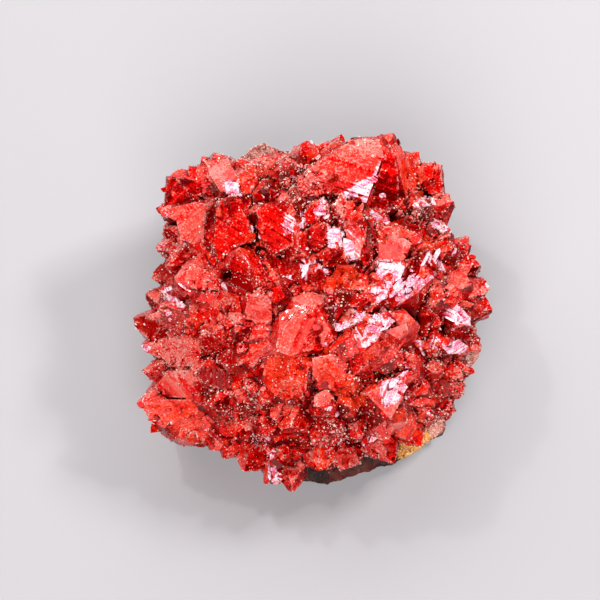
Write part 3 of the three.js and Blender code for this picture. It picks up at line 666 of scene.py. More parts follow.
def worn_depth(settings, points, climb, stepped, sharp, pit):
    """How far each point is worn back: ripples, growth terraces, chips, blunted edges and pits.

    A terrace rises evenly up its facet and drops at each whole number of TERRACE_SPACING of the climb.
    """
    ripple = 0.5 * soft_noise(points, 2.2 * MM, 3) + 0.3 * soft_noise(points, 0.9 * MM, 4)
    rise = climb / TERRACE_SPACING + 0.7 * soft_noise(points, 4 * MM, 5)
    terrace = (rise - np.floor(rise)) * smooth(stepped, 0.45, 0.6)
    chipped = chip_noise(points, 1.3 * MM, 6) * (0.1 + 0.9 * in_zones(points, GRANULAR))
    blunted = chip_noise(points, 0.9 * MM, 8) * smooth(sharp, 0.03, 0.2)
    depth = settings.ripple * (0.8 - ripple) + settings.terrace * terrace
    return depth + CHIP_DEPTH * chipped + BLUNTED_EDGE * blunted + PIT_DEPTH * pit


def hollow_share(points, sharp, pit):
    """0 on open faces and 1 deep between crystals: in wide dips, close ones, creases and pits."""
    wide = smooth(hollowness(points, 3.2 * MM), 1.6 * MM, 5.0 * MM)
    close = smooth(hollowness(points, 1.0 * MM), 0.8 * MM, 2.4 * MM)
    return np.maximum.reduce([wide, close, smooth(-sharp, 0.06, 0.3), pit])


# ---------------------------------------------------------------- what grows on them


def facet_axes(normals, points):
    """Each facet's c axis and the way out of its nearest crystal side, worked out from its normal.

    A facet that faces along the growth direction is taken as a slanting face, whose normal is
    MAJOR_ANGLE from the c axis, and one that faces across it as a prism face, whose normal is square
    to the c axis. Both c axes lie in the plane of the normal and the growth direction.
    """
    growth = growth_direction(points)
    outward = np.sum(normals * growth, 1, keepdims=True)
    tangent = unit(growth - outward * normals + 1e-6)
    slanting = outward > 0.3
    cosine, sine = math.cos(MAJOR_ANGLE), math.sin(MAJOR_ANGLE)
    axis = np.where(slanting, cosine * normals + sine * tangent, tangent)
    side = np.where(slanting, (normals - cosine * axis) / sine, normals)
    return unit(axis), unit(side)


def crystal_shape(minor, length):
    """One crystal's corners and faces: prism faces 1 from the c axis, the tip at the origin, c along z.

    The three major slanting faces pass through the tip. The three minor ones lie `minor` further out,
    so each cuts a triangle off the edge between two major faces. A major face falls by tan(MAJOR_ANGLE)
    for each unit out, so two of them meet in an edge that falls half as fast, along a minor side.
    """
    fall = math.tan(MAJOR_ANGLE)
    edge_reach = 2 * minor / math.sin(MAJOR_ANGLE)
    minor_top = minor / math.cos(MAJOR_ANGLE) - fall
    half = 1 / math.sqrt(3)
    shoulder = half - (1 + minor_top / fall) / math.sin(math.pi / 3)
    points, faces = [(0.0, 0.0, 0.0)], []
    for sector in range(3):
        minor_way = math.radians(60 + 120 * sector)
        out = np.array([math.cos(minor_way), math.sin(minor_way)])
        across = np.array([-out[1], out[0]])
        points += [
            (*(out * edge_reach), -fall * edge_reach / 2),
            (*(out - across * half), -fall),
            (*(out - across * shoulder), minor_top),
            (*(out + across * shoulder), minor_top),
            (*(out + across * half), -fall),
            (*(out - across * half), -length),
            (*(out + across * half), -length),
        ]
    for sector in range(3):
        a, b = 1 + 7 * sector, 1 + 7 * ((sector + 1) % 3)
        faces.append([a, a + 2, a + 3])
        faces.append([a + 1, a + 5, a + 6, a + 4, a + 3, a + 2])
        faces.append([0, a, a + 3, a + 4, b + 1, b + 2, b])
        faces.append([a + 4, a + 6, b + 5, b + 1])
    faces.append([21, 20, 14, 13, 7, 6])
    return np.array(points), faces


def blade_shape():
    """One blade's corners and faces: a long flat top with slanting ends at z 0, its length along x.

    The top's outline is drawn. The sides go down and a little outwards into the crust.
    """
    outline = [(-1.0, -0.10), (-0.72, -0.24), (0.70, -0.20), (1.0, 0.04), (0.66, 0.22), (-0.80, 0.20)]
    outline = np.array(outline)
    top = np.column_stack([outline, np.zeros(6)])
    foot = np.column_stack([outline * [1.12, 1.5], np.full(6, -1.1)])
    faces = [[*range(6)], [*range(11, 5, -1)]]
    faces += [[(k + 1) % 6, k, 6 + k, 6 + (k + 1) % 6] for k in range(6)]
    return np.concatenate([top, foot]), faces


def grain_shape():
    """One grain's corners and faces: a blunt double pyramid on a square, 1 from its middle to each corner."""
    points = [(1, 0, 0), (0, 1, 0), (-1, 0, 0), (0, -1, 0), (0.2, 0.1, 0.8), (0, 0, -0.8)]
    faces = [[k, (k + 1) % 4, 4] for k in range(4)] + [[(k + 1) % 4, k, 5] for k in range(4)]
    return np.array(points, float), faces


def scattered(mesh, weights, count, seed):
    """Random places on a triangle mesh, none in the pits: their normals and triangles, and the generator.

    The triangles are drawn by area times weight, then a point in each.
    """
    points = read(mesh.vertices, "co", 3)[corner_points(mesh).reshape(-1, 3)]
    cross = np.cross(points[:, 1] - points[:, 0], points[:, 2] - points[:, 0])
    chance = np.linalg.norm(cross, axis=1) * weights * (1 - in_pits(points.mean(1)))
    rng = np.random.default_rng(seed)
    chosen = rng.choice(len(points), count, p=chance / chance.sum())
    a, b = rng.random((2, count, 1))
    a, b = np.where(a + b > 1, 1 - a, a), np.where(a + b > 1, 1 - b, b)
    corner = points[chosen]
    places = corner[:, 0] + a * (corner[:, 1] - corner[:, 0]) + b * (corner[:, 2] - corner[:, 0])
    return places, unit(cross)[chosen], chosen, rng


def random_sides(axes, rng):
    """A random direction square to each axis."""
    return unit(np.cross(axes, unit(rng.normal(0, 1, axes.shape))))


def copies(name, shape, tips, axes, sides, radii, flatness, tones, finish):
    """One piece of many copies of a shape, each narrowed across, scaled, turned and moved to its tip.

    A corner at x, y, z of the shape goes to tip + radius (x side + flatness y across + z axis). Facets
    turned towards the broad light are painted paler, a painted sheen, and a few in a hundred at random, and
    those in the glint zones that face the main light, get a painted white glint.
    """
    spots, faces = shape
    across = np.cross(axes, sides)
    turned = (
        spots[:, :1] * sides[:, None]
        + spots[:, 1:2] * flatness[:, None, None] * across[:, None]
        + spots[:, 2:] * axes[:, None]
    )
    points = np.clip((tips[:, None] + radii[:, None, None] * turned).reshape(-1, 3), *SOLID_BOX)
    order = np.concatenate(faces)
    corners = (np.arange(len(tips))[:, None] * len(spots) + order).ravel()
    sizes = np.tile([len(face) for face in faces], len(tips))
    piece = new_piece(name, points, corners, sizes, finish)
    own = np.repeat(np.arange(len(tips)), len(faces))
    zones = {zone: share[own] for zone, share in zone_layers(tips).items()}
    normals, middles = facets(piece.data)
    # Painted glints at random, a few more in the granular zones, and a painted sheen on facets turned towards
    # the broad light.
    random_glint = 0.9 * (number_hash(len(own), 6) > 0.965 - 0.03 * zones["granular"])
    painted_sheen = smooth(facing(normals, PAINTED_SHEEN_WAY), 0.5, 1.0)
    tone = np.clip(0.45 * tones[own] + 0.25 * number_hash(len(own), 5) + 0.5 * painted_sheen - 0.05, 0, 1)
    store(piece.data, "FACE", tone=tone, frost=np.maximum(glinting(normals, middles), random_glint), **zones)
    store(piece.data, "CORNER", along=np.sum(points[corners] * np.repeat(axes, len(order), axis=0), 1))
    return piece


def grain_piece(name, mesh, weights, count, size, seed, colours):
    """Grains of about that half width, strewn over a mesh by weight, each with its own tone of colour."""
    places, normals, _, rng = scattered(mesh, weights, count, seed)
    axes = unit(normals + 0.5 * rng.normal(0, 1, (count, 3)))
    sides = random_sides(axes, rng)
    radii = size * rng.lognormal(0, 0.35, count).clip(0.5, 2.0)
    flatness = rng.uniform(0.6, 1.0, count)
    finish = grain_finish(name, colours)
    return copies(name, grain_shape(), places, axes, sides, radii, flatness, rng.random(count), finish)


# ---------------------------------------------------------------- shading


def plug(tree, place, value):
    """Link a wire to a socket, or set the socket to a number, a vector or a colour."""
    if isinstance(value, Wire):
        tree.links.new(value.socket, place)
    elif place.type == "RGBA":
        place.default_value = (*value, 1)
    else:
        place.default_value = value


class Wire:
    """An output socket. Arithmetic on wires and numbers adds the Math nodes that work it out."""

    def __init__(self, tree, socket):
        self.tree, self.socket = tree, socket

    def math(self, operation, *values):
        node = self.tree.nodes.new("ShaderNodeMath")
        node.operation = operation
        for place, value in zip(node.inputs, values):
            plug(self.tree, place, value)
        return Wire(self.tree, node.outputs[0])

    def __add__(self, other):
        return self.math("ADD", self, other)

    def __sub__(self, other):
        return self.math("SUBTRACT", self, other)

    def __rsub__(self, other):
        return self.math("SUBTRACT", other, self)

    def __mul__(self, other):
        return self.math("MULTIPLY", self, other)

    __radd__, __rmul__ = __add__, __mul__

    def between(self, low, high):
        """0 below low, 1 above high and a smooth rise between."""
        node = self.tree.nodes.new("ShaderNodeMapRange")
        node.interpolation_type = "SMOOTHSTEP"
        for name, value in (("Value", self), ("From Min", low), ("From Max", high)):
            plug(self.tree, node.inputs[name], value)
        return Wire(self.tree, node.outputs["Result"])


class Finish:
    """A material being made: its node tree, one way to add a node, and its principled shader."""

    def __init__(self, name, **constants):
        self.material = bpy.data.materials.new(name)
        self.material.use_nodes = True
        self.tree = self.material.node_tree
        self.shader = self.tree.nodes["Principled BSDF"]
        self.set(**constants)

    def set(self, **values):
        for name, value in values.items():
            plug(self.tree, self.shader.inputs[name.replace("_", " ")], value)
        return self.material

    def node(self, kind, settings=None, output=0, **sockets):
        node = self.tree.nodes.new("ShaderNode" + kind)
        for name, value in (settings or {}).items():
            if name == "stops":
                for stop, (place, colour) in zip(self.stops(node, len(value)), value):
                    stop.position, stop.color = place, (*colour, 1)
            else:
                setattr(node, name, value)
        for name, value in sockets.items():
            plug(self.tree, node.inputs[name.replace("_", " ")], value)
        return Wire(self.tree, node.outputs[output])

    def stops(self, node, count):
        while len(node.color_ramp.elements) < count:
            node.color_ramp.elements.new(1)
        return node.color_ramp.elements

    def place(self):
        return self.node("TexCoord", output="Object")

    def attribute(self, name):
        return self.node("Attribute", {"attribute_name": name}, output="Fac")

    def noise(self, size, detail=3.0, rough=0.5, warp=0.0):
        return self.node(
            "TexNoise", Vector=self.place(), Scale=1 / size, Detail=detail, Roughness=rough, Distortion=warp
        )

    def cells(self, size):
        """The distance from the middle of the nearest of a jumble of cells of that size."""
        return self.node("TexVoronoi", output="Distance", Vector=self.place(), Scale=1 / size)

    def lines(self, along, size):
        """Noise that changes only along one attribute, as growth lines do."""
        return self.node("TexNoise", {"noise_dimensions": "1D"}, W=along, Scale=1 / size, Detail=3.0)

    def ramp(self, level, stops):
        return self.node("ValToRGB", {"stops": stops}, Fac=level)

    def mix(self, share, first, second):
        """The first colour, with the second laid over it by its share."""
        node = self.tree.nodes.new("ShaderNodeMix")
        node.data_type = "RGBA"
        for index, value in ((0, share), (6, first), (7, second)):
            plug(self.tree, node.inputs[index], value)
        return Wire(self.tree, node.outputs[2])

    def bump(self, height, strength, distance, **under):
        return self.node("Bump", Height=height, Strength=strength, Distance=distance, **under)


def near(finish, centre, radius):
    """1 at a place in the part's frame and 0 beyond about the radius from it, with a ragged edge."""
    away = finish.node("VectorMath", {"operation": "DISTANCE"}, output="Value", Vector=finish.place())
    away.socket.node.inputs[1].default_value = centre
    return 1 - (away + (finish.noise(1.8 * MM) - 0.5) * radius).between(0.3 * radius, radius)


def quartz_finish(name, settings, worn=False):
    """Hematite-stained quartz: glassy red faces, paler and duller where a crust of fine grains covers them.

    The level runs through the reds, from the facet's own tone with its painted sheen, mottling, growth lines
    and broader bands. Over it lie the orange stains, the salmon ones that are partly painted sheen, the
    painted shade of the dark zones, pale dust and painted white glints, then with worn set pale edges, partly
    wear and partly painted highlight, and painted shade in the hollows, and cream specks, partly painted
    sparkle, and black specks.
    """
    finish = Finish(
        name, IOR=1.5, Specular_IOR_Level=0.3, Specular_Tint=(1.0, 0.3, 0.26), Coat_Roughness=0.07
    )
    tone, along, granular, rough = map(finish.attribute, ("tone", "along", "granular", "rough"))
    patches = finish.noise(5.5 * MM, 3.0, 0.6)
    mottle = finish.noise(2.0 * MM, 6.0, 0.68, 0.5)
    grain = finish.noise(0.42 * MM, 2.0, 0.6)
    fine = finish.noise(0.26 * MM, 1.0, 0.5)
    lines = finish.lines(along, 0.42 * MM)
    bands = finish.lines(along + 0.8 * MM * mottle, 1.9 * MM)
    mixed = 0.9 * mottle + 0.7 * grain + 0.3 * fine + 0.6 * lines + 0.9 * bands + 0.6 * patches
    reds = [
        (0.02, settings.dark),
        (0.22, settings.crimson),
        (0.42, settings.red),
        (0.58, settings.red),
        (0.72, settings.orange),
        (0.90, settings.salmon),
    ]
    colour = finish.ramp(0.9 * tone + mixed - 2.0, reds)

    orange = finish.attribute("orange") * mottle.between(0.36, 0.58)
    colour = finish.mix(orange * 0.8, colour, settings.orange)
    # Salmon patches and stains: pale colour, partly painted sheen.
    blotches = tone * 0.4 + mottle * 0.5 + grain * 0.3 + bands * 0.7
    salmon = finish.attribute("salmon") * blotches.between(0.84, 1.16)
    colour = finish.mix(salmon * 0.75, colour, settings.salmon)
    # Painted shade: the shade zones darken the colour towards crimson and take the coat away.
    dark = finish.attribute("dark") * (1.25 - mottle).between(0.4, 0.8)
    colour = finish.mix(dark * 0.85, colour, settings.crimson)

    dust = patches * 0.4 + mottle * 0.5 + grain * 1.0 + tone * 0.2 + finish.attribute("dusty") * 0.12
    dust = dust.between(1.14, 1.32)
    colour = finish.mix(dust * settings.dust, colour, settings.pale)

    # Painted highlights: the glint mask whitens the facets, through magenta and lilac to white.
    frost = grain * 0.4 + fine * 0.2 + mottle * 0.7 + patches * 0.4 + lines * 0.9
    frost = (finish.attribute("frost") * 0.7 + frost).between(1.65, 1.88)
    clear = (fine * 0.3 + lines * 0.3 + mottle * 0.7).between(0.52, 0.76)
    glint_colours = [(0.0, settings.magenta), (0.5, settings.lilac), (0.85, settings.frost)]
    colour = finish.mix(frost * 0.9, colour, finish.ramp(clear, glint_colours))

    coat = frost * clear * 0.6 + tone.between(0.3, 0.9) * 0.45 * (1 - 0.5 * granular) * (1 - dark) + 0.03
    # With worn set, on the large crystals only: pale edges, partly wear and partly painted highlight on the
    # ridges, and painted shade in the hollows between crystals.
    if worn:
        edge = finish.attribute("edge") * (mottle + grain * 0.6).between(0.74, 0.95)
        colour = finish.mix(edge * 0.65, colour, settings.pale)
        # Painted shade: the hollows turn dark red and then near black, where shade falls between crystals.
        hollow = finish.attribute("hollow")
        colour = finish.mix(hollow.between(0.05, 0.8), colour, settings.dark)
        colour = finish.mix(hollow.between(0.6, 1.0) * 0.8, colour, settings.deepest)
        coat = coat * (1 - hollow)

    thickness = granular * 0.07 + rough * 0.22 + mottle * 0.4 - 0.21
    # Cream specks, partly painted sparkle, and black specks, thickest where the crust is rough and granular.
    cream = (finish.noise(0.40 * MM, 0.0) + thickness).between(1.00, 1.03)
    colour = finish.mix(cream * 0.85, colour, settings.cream)
    black = (finish.noise(0.50 * MM, 0.0) + thickness).between(0.93, 0.99)
    colour = finish.mix(black * 0.8, colour, settings.dark)

    relief = finish.bump(lines + bands * 2, 0.4, 0.06 * MM)
    crumbs = finish.cells(0.55 * MM) * (granular + rough * 0.5)
    relief = finish.bump(crumbs + grain * 0.3, 0.5, 0.16 * MM, Normal=relief)
    dullness = 0.06 + 0.2 * dust + 0.12 * grain + 0.15 * granular
    return finish.set(Base_Color=colour, Roughness=dullness, Normal=relief, Coat_Weight=coat)


def grain_finish(name, colours):
    """Loose grains: each its own tone, from the first of the five colours to the last."""
    finish = Finish(name, IOR=1.55, Specular_Tint=(1.0, 0.6, 0.6))
    tone = finish.attribute("tone")
    stops = list(zip((0.10, 0.28, 0.46, 0.64, 0.80), colours))
    colour = finish.ramp(tone + 0.1 * finish.noise(0.8 * MM), stops)
    relief = finish.bump(finish.noise(0.2 * MM), 0.3, 0.05 * MM)
    return finish.set(Base_Color=colour, Roughness=0.18 + 0.25 * tone, Normal=relief)


def rock_finish(settings):
    """Iron-stained rock: brown-black and matt, with red patches, a pale rind and an ochre patch."""
    finish = Finish("host_rock", IOR=1.45)
    grain = finish.noise(0.6 * MM, 6.0, 0.72)
    patches = finish.noise(4.5 * MM, 5.0, 0.6, 0.4)
    browns = [
        (0.3, settings.darkest),
        (0.46, settings.dark),
        (0.6, settings.brown),
        (0.75, settings.pale),
    ]
    colour = finish.ramp(0.6 * patches + 0.4 * grain, browns)
    red = finish.noise(6 * MM, 4.0, 0.6).between(0.5, 0.62)
    colour = finish.mix(red * 0.7, colour, settings.red)
    for centre, radius in RIND:
        rind = near(finish, on_part(centre), radius * MM) * (grain + 0.3 * patches).between(0.42, 0.66)
        colour = finish.mix(rind * 0.9, colour, settings.rind)
    for centre, radius in OCHRE:
        ochre = near(finish, on_part(centre), radius * MM) * (patches + 0.4 * grain).between(0.45, 0.65)
        colour = finish.mix(ochre, colour, settings.ochre)
    relief = finish.bump(grain, 0.8, 0.3 * MM)
    return finish.set(Base_Color=colour, Roughness=0.62 + 0.3 * grain, Normal=relief)


# ---------------------------------------------------------------- settings


def colour_setting(name, description, default):
    return FloatVectorProperty(
        name=name, description=description, subtype="COLOR", size=3, min=0, max=1, default=default
    )


def length_setting(name, description, default):
    return FloatProperty(name=name, description=description, unit="LENGTH", min=0, default=default)


def power_setting(name, description, default):
    return FloatProperty(name=name, description=description, unit="POWER", min=0, default=default)


def share_setting(name, description, default):
    return FloatProperty(
        name=name, description=description, subtype="FACTOR", min=0, max=1, default=default
    )


def count_setting(name, description, default):
    return IntProperty(name=name, description=description, min=0, default=default)


class QuartzSettings(bpy.types.PropertyGroup):
    """Colours and sizes of the red quartz."""

    # Deepest and Dark paint shade into the hollows; Dark is also the reds' darkest stop, the black specks'
    # colour and the darkest grains'.
    deepest: colour_setting("Deepest", "Colour of the deepest hollows", (0.006, 0.0, 0.0))
    dark: colour_setting("Dark", "Colour of the hollows between crystals", (0.085, 0.0, 0.0))
    crimson: colour_setting("Crimson", "Darkest colour of a crystal face", (0.30, 0.0, 0.0005))
    red: colour_setting("Red", "Main colour of the crystals", (0.70, 0.002, 0.001))
    orange: colour_setting("Orange", "Brighter iron-stained faces", (0.86, 0.045, 0.008))
    salmon: colour_setting("Salmon", "Palest crystal faces", (0.74, 0.125, 0.10))
    pale: colour_setting("Pale", "Dusty coating", (0.72, 0.36, 0.30))
    cream: colour_setting("Cream", "Palest specks", (0.90, 0.70, 0.58))
    # The colours of the painted glints: the palest, a thinner one, and the stain that shows through.
    frost: colour_setting("Frost", "Clear, frosted facets", (0.96, 0.86, 0.92))
    lilac: colour_setting("Lilac", "Thinner frost", (0.88, 0.40, 0.52))
    magenta: colour_setting("Magenta", "Stain that shows through the frosted facets", (0.74, 0.10, 0.22))
    dust: share_setting("Dust", "Strength of the coating", 0.5)
    finest: length_setting("Finest", "Longest edge of the faces' mesh", 0.8 * MM)
    ripple: length_setting("Ripple", "Unevenness of the crystal faces", 0.05 * MM)
    terrace: length_setting("Terrace", "Height of the growth steps across a face", 0.10 * MM)
    plates: count_setting("Plates", "Growth plates on the faces", 900)
    druse: count_setting("Druse", "Small crystals", 4600)
    druse_size: length_setting("Druse size", "Half width of a typical small crystal", 0.42 * MM)
    grains: count_setting("Grains", "Sugary grains", 20000)
    grain_size: length_setting("Grain size", "Half width of a typical grain", 0.21 * MM)


class RockSettings(bpy.types.PropertyGroup):
    """Colours and sizes of the host rock."""

    darkest: colour_setting("Darkest", "Colour of the darkest patches", (0.010, 0.006, 0.005))
    dark: colour_setting("Dark", "Main colour of the rock", (0.018, 0.007, 0.005))
    brown: colour_setting("Brown", "Lighter patches", (0.09, 0.032, 0.022))
    red: colour_setting("Red", "Iron stains", (0.16, 0.02, 0.012))
    pale: colour_setting("Pale", "Worn patches", (0.30, 0.15, 0.11))
    rind: colour_setting("Rind", "Broken, pale edge", (0.82, 0.40, 0.33))
    ochre: colour_setting("Ochre", "The ochre patch", (0.92, 0.46, 0.06))
    roughness: length_setting("Roughness", "Height of the rock's lumps and chips", 1.3 * MM)
    rind_grains: count_setting("Rind grains", "Grains on the pale edge", 5000)
    ochre_grains: count_setting("Ochre grains", "Grains on the ochre patch", 1500)
    rock_grains: count_setting("Rock grains", "Grains all over the rock", 5000)
    grain_size: length_setting("Grain size", "Half width of a typical grain", 0.22 * MM)


class StageSettings(bpy.types.PropertyGroup):
    """The floor, the lights and the camera."""

    floor: colour_setting("Floor", "Colour of the floor", (0.46, 0.46, 0.46))
    patches: colour_setting("Patches", "Colour of the floor's faint patches", (0.42, 0.42, 0.42))
    tint: colour_setting("Tint", "Colour of the lights", (1.0, 0.96, 1.0))
    surroundings: colour_setting("Surroundings", "Colour of the studio around", (0.95, 0.95, 1.0))
    key: power_setting("Key light", "Power of the main light", 1.25)
    soft: power_setting("Soft light", "Power of the broad light from the left", 1.1)
    back: power_setting("Back light", "Power of the broad back light", 1.1)
    fill: power_setting("Fill light", "Power of the fill light", 3.6)
    spark: power_setting("Spark lights", "Power of each small light", 0.5)
    world: share_setting("Studio", "Brightness of the surroundings", 0.04)
    distance: length_setting("Distance", "From the camera to the specimen", 0.5)


# ---------------------------------------------------------------- operators


class SPECIMEN_OT_crystals(bpy.types.Operator):
    """Dress the large crystals: flat facets with growth terraces, worn edges and their own tones, with
    painted sheen, glints and shade.
    """

    bl_idname = "specimen.crystals"
    bl_label = "Large crystals"

    def execute(self, context):
        settings = context.scene.specimen_quartz
        solid = whole_faces("quartz_crystals", "crystal_faces")
        lumps = read(refined(solid.copy(), 2 * settings.finest).vertices, "co", 3)
        mesh, stains = with_broad_faces(solid, lumps)
        normals, middles = facets(mesh)
        axes = facet_axes(normals, middles)[0]
        tones, frost, rimmed_glint = own_tints(normals, middles, stains)
        reach = np.sqrt(read(mesh.polygons, "area") / math.pi)
        fading = 0.32 * (2 * number_hash(len(normals), 21) - 0.7)

        refined(mesh, settings.finest)
        facet = np.repeat(stored(mesh, "facet", np.int32), 3)
        points, corners = read(mesh.vertices, "co", 3), corner_points(mesh)
        along = np.sum(points[corners] * axes[facet], 1)
        up_face = (along - np.sum(middles * axes, 1)[facet]) / reach[facet]
        tone = np.clip(tones[facet] + fading[facet] * np.clip(up_face, -1.3, 1.3), 0, 1)
        # Painted glints: on the glint faces, and inside the outlines on facets that face the main light,
        # faded at the rims.
        rings = [np.array(outline) for stain, outline in FACES if stain == "frost"]
        rings += [np.array(outline) for outline in PAINTED_SHEENS]
        rim = inset(in_growth_frame(points)[:, :2] / MM, rings) + 0.7 * soft_noise(points, 1.0 * MM, 41)
        frost = np.maximum(rimmed_glint[facet] * smooth(rim, -1.3, 0.3)[corners], frost[facet])

        sharp = edge_sharpness(mesh, points)
        pit = in_pits(points)
        climb = point_mean(corners, along, len(points))
        stepped = point_mean(corners, number_hash(len(normals), 9)[facet], len(points))
        depth = worn_depth(settings, points, climb, stepped, sharp, pit)
        points = np.clip(points - depth[:, None] * growth_direction(points), *SOLID_BOX)
        mesh.vertices.foreach_set("co", points.ravel())
        mesh.update()
        mesh.shade_flat()

        zones = zone_layers(points)
        _, orange, salmon, _, laid = stains[facet].T
        stained = {"orange": orange, "salmon": salmon, "dark": 0, "granular": 0.2}
        for name, value in stained.items():
            own = zones.pop(name)[corners]
            store(mesh, "CORNER", **{name: own + laid * (value - own)})
        store(mesh, "CORNER", tone=tone, along=along, frost=frost)
        # How hollow each point is: it places the small pieces, and the finish paints shade there. The ridges'
        # pale edges are partly wear and partly painted highlight.
        hollow = hollow_share(points, sharp, pit)
        store(mesh, "POINT", hollow=hollow, edge=smooth(sharp, 0.04, 0.22), **zones)
        piece = placed_piece("crystal_faces", mesh, quartz_finish("crystal_faces", settings, True))
        return finish_piece(piece, "red_quartz", "quartz_crystals")


class SPECIMEN_OT_plates(bpy.types.Operator):
    """Grow plates on the large facets: low crystals turned as their host is, a little proud of it."""

    bl_idname = "specimen.plates"
    bl_label = "Growth plates"

    def execute(self, context):
        settings = context.scene.specimen_quartz
        mesh = crust_mesh()
        open_face = (1 - 0.8 * face_mean(mesh, "hollow")) * face_mean(mesh, "rough")
        places, normals, chosen, rng = scattered(mesh, open_face, settings.plates, 12)
        axes, sides = facet_axes(normals, places)
        radii = rng.lognormal(math.log(0.9), 0.4, len(places)).clip(0.4, 2.2) * MM
        middle = 0.6 * sides - 0.6 * math.tan(MAJOR_ANGLE) * axes
        rise = rng.uniform(0.1, 0.3, (len(places), 1)) * MM
        tips = places - radii[:, None] * middle + rise * normals
        flatness = rng.uniform(0.5, 1.0, len(places))
        tones = face_mean(mesh, "tone")[chosen]
        shape = crystal_shape(0.22, 2.0)
        finish = quartz_finish("growth_plates", settings)
        piece = copies("growth_plates", shape, tips, axes, sides, radii, flatness, tones, finish)
        return finish_piece(piece, "red_quartz")


class SPECIMEN_OT_blades(bpy.types.Operator):
    """Lay stairs of long flat blades on the crust, side by side, each top just above the crust's high points.

    A blade's top faces FLASH_WAY, give or take a little, and its length runs along the stair's own way.
    """

    bl_idname = "specimen.blades"
    bl_label = "Blades"

    def execute(self, context):
        settings = context.scene.specimen_quartz
        crust = in_growth_frame(read(crust_mesh().vertices, "co", 3)) / MM
        crust = crust[crust[:, 2] > 0]
        tips, ways, radii = [], [], []
        rng = np.random.default_rng(78)
        for u, v, degrees, count, half_length, spacing in STAIRS:
            way = np.array([math.cos(math.radians(degrees)), math.sin(math.radians(degrees))])
            across = np.array([-way[1], way[0]])
            for k in range(count):
                aside = (k - (count - 1) / 2) * spacing
                spot = np.array([u, v]) + aside * across + way * rng.uniform(-0.5, 0.5) * half_length
                close = np.hypot(*(crust[:, :2] - spot).T) < 1.0
                tips.append((*spot, np.percentile(crust[close, 2], 85) + rng.uniform(0.1, 0.5)))
                ways.append((*way, 0))
                radii.append(half_length * rng.uniform(0.5, 1.15))
        tips, ways, radii = on_part(tips), np.array(ways) @ GROWTH_AXES, np.array(radii) * MM
        tops = unit(FLASH_WAY + 0.16 * rng.normal(0, 1, tips.shape)) @ GROWTH_AXES
        sides = unit(ways - np.sum(ways * tops, 1, keepdims=True) * tops)
        flatness = rng.uniform(0.7, 1.2, len(tips))
        tones = rng.uniform(0.2, 1.0, len(tips))
        finish = quartz_finish("blades", settings)
        piece = copies("blades", blade_shape(), tips, tops, sides, radii, flatness, tones, finish)
        return finish_piece(piece, "red_quartz")


class SPECIMEN_OT_druse(bpy.types.Operator):
    """Sprinkle small crystals over the crust, thickest in the hollows, pointing roughly out of it."""

    bl_idname = "specimen.druse"
    bl_label = "Druse"

    def execute(self, context):
        settings = context.scene.specimen_quartz
        mesh = crust_mesh()
        weights = 0.03 + face_mean(mesh, "hollow") + 0.3 * face_mean(mesh, "granular")
        weights *= 0.3 + 0.7 * face_mean(mesh, "rough")
        places, normals, _, rng = scattered(mesh, weights, settings.druse, 34)
        count = len(places)
        axes = unit(normals + 0.8 * growth_direction(places) + 0.45 * rng.normal(0, 1, (count, 3)))
        sides = random_sides(axes, rng)
        radii = settings.druse_size * rng.lognormal(0, 0.45, count).clip(0.4, 2.6)
        tips = places + axes * radii[:, None] * rng.uniform(0.5, 1.6, (count, 1))
        flatness = rng.uniform(0.6, 1.0, count)
        tones = rng.random(count)
        shape = crystal_shape(0.28, 2.6)
        finish = quartz_finish("druse", settings)
        piece = copies("druse", shape, tips, axes, sides, radii, flatness, tones, finish)
        return finish_piece(piece, "red_quartz")


class SPECIMEN_OT_grains(bpy.types.Operator):
    """Dust the crust with sugary grains, thickest along edges, in hollows and in the granular zones."""

    bl_idname = "specimen.grains"
    bl_label = "Sugary grains"

    def execute(self, context):
        settings = context.scene.specimen_quartz
        mesh = crust_mesh()
        weights = 0.12 + 1.6 * face_mean(mesh, "granular") + 0.9 * face_mean(mesh, "edge")
        weights = (weights + 0.5 * face_mean(mesh, "hollow")) * face_mean(mesh, "rough")
        # The palest grains are cream, partly standing in for glints.
        colours = [settings.dark, settings.crimson, settings.salmon, settings.cream, settings.cream]
        piece = grain_piece("sugar_grains", mesh, weights, settings.grains, settings.grain_size, 56, colours)
        return finish_piece(piece, "red_quartz")


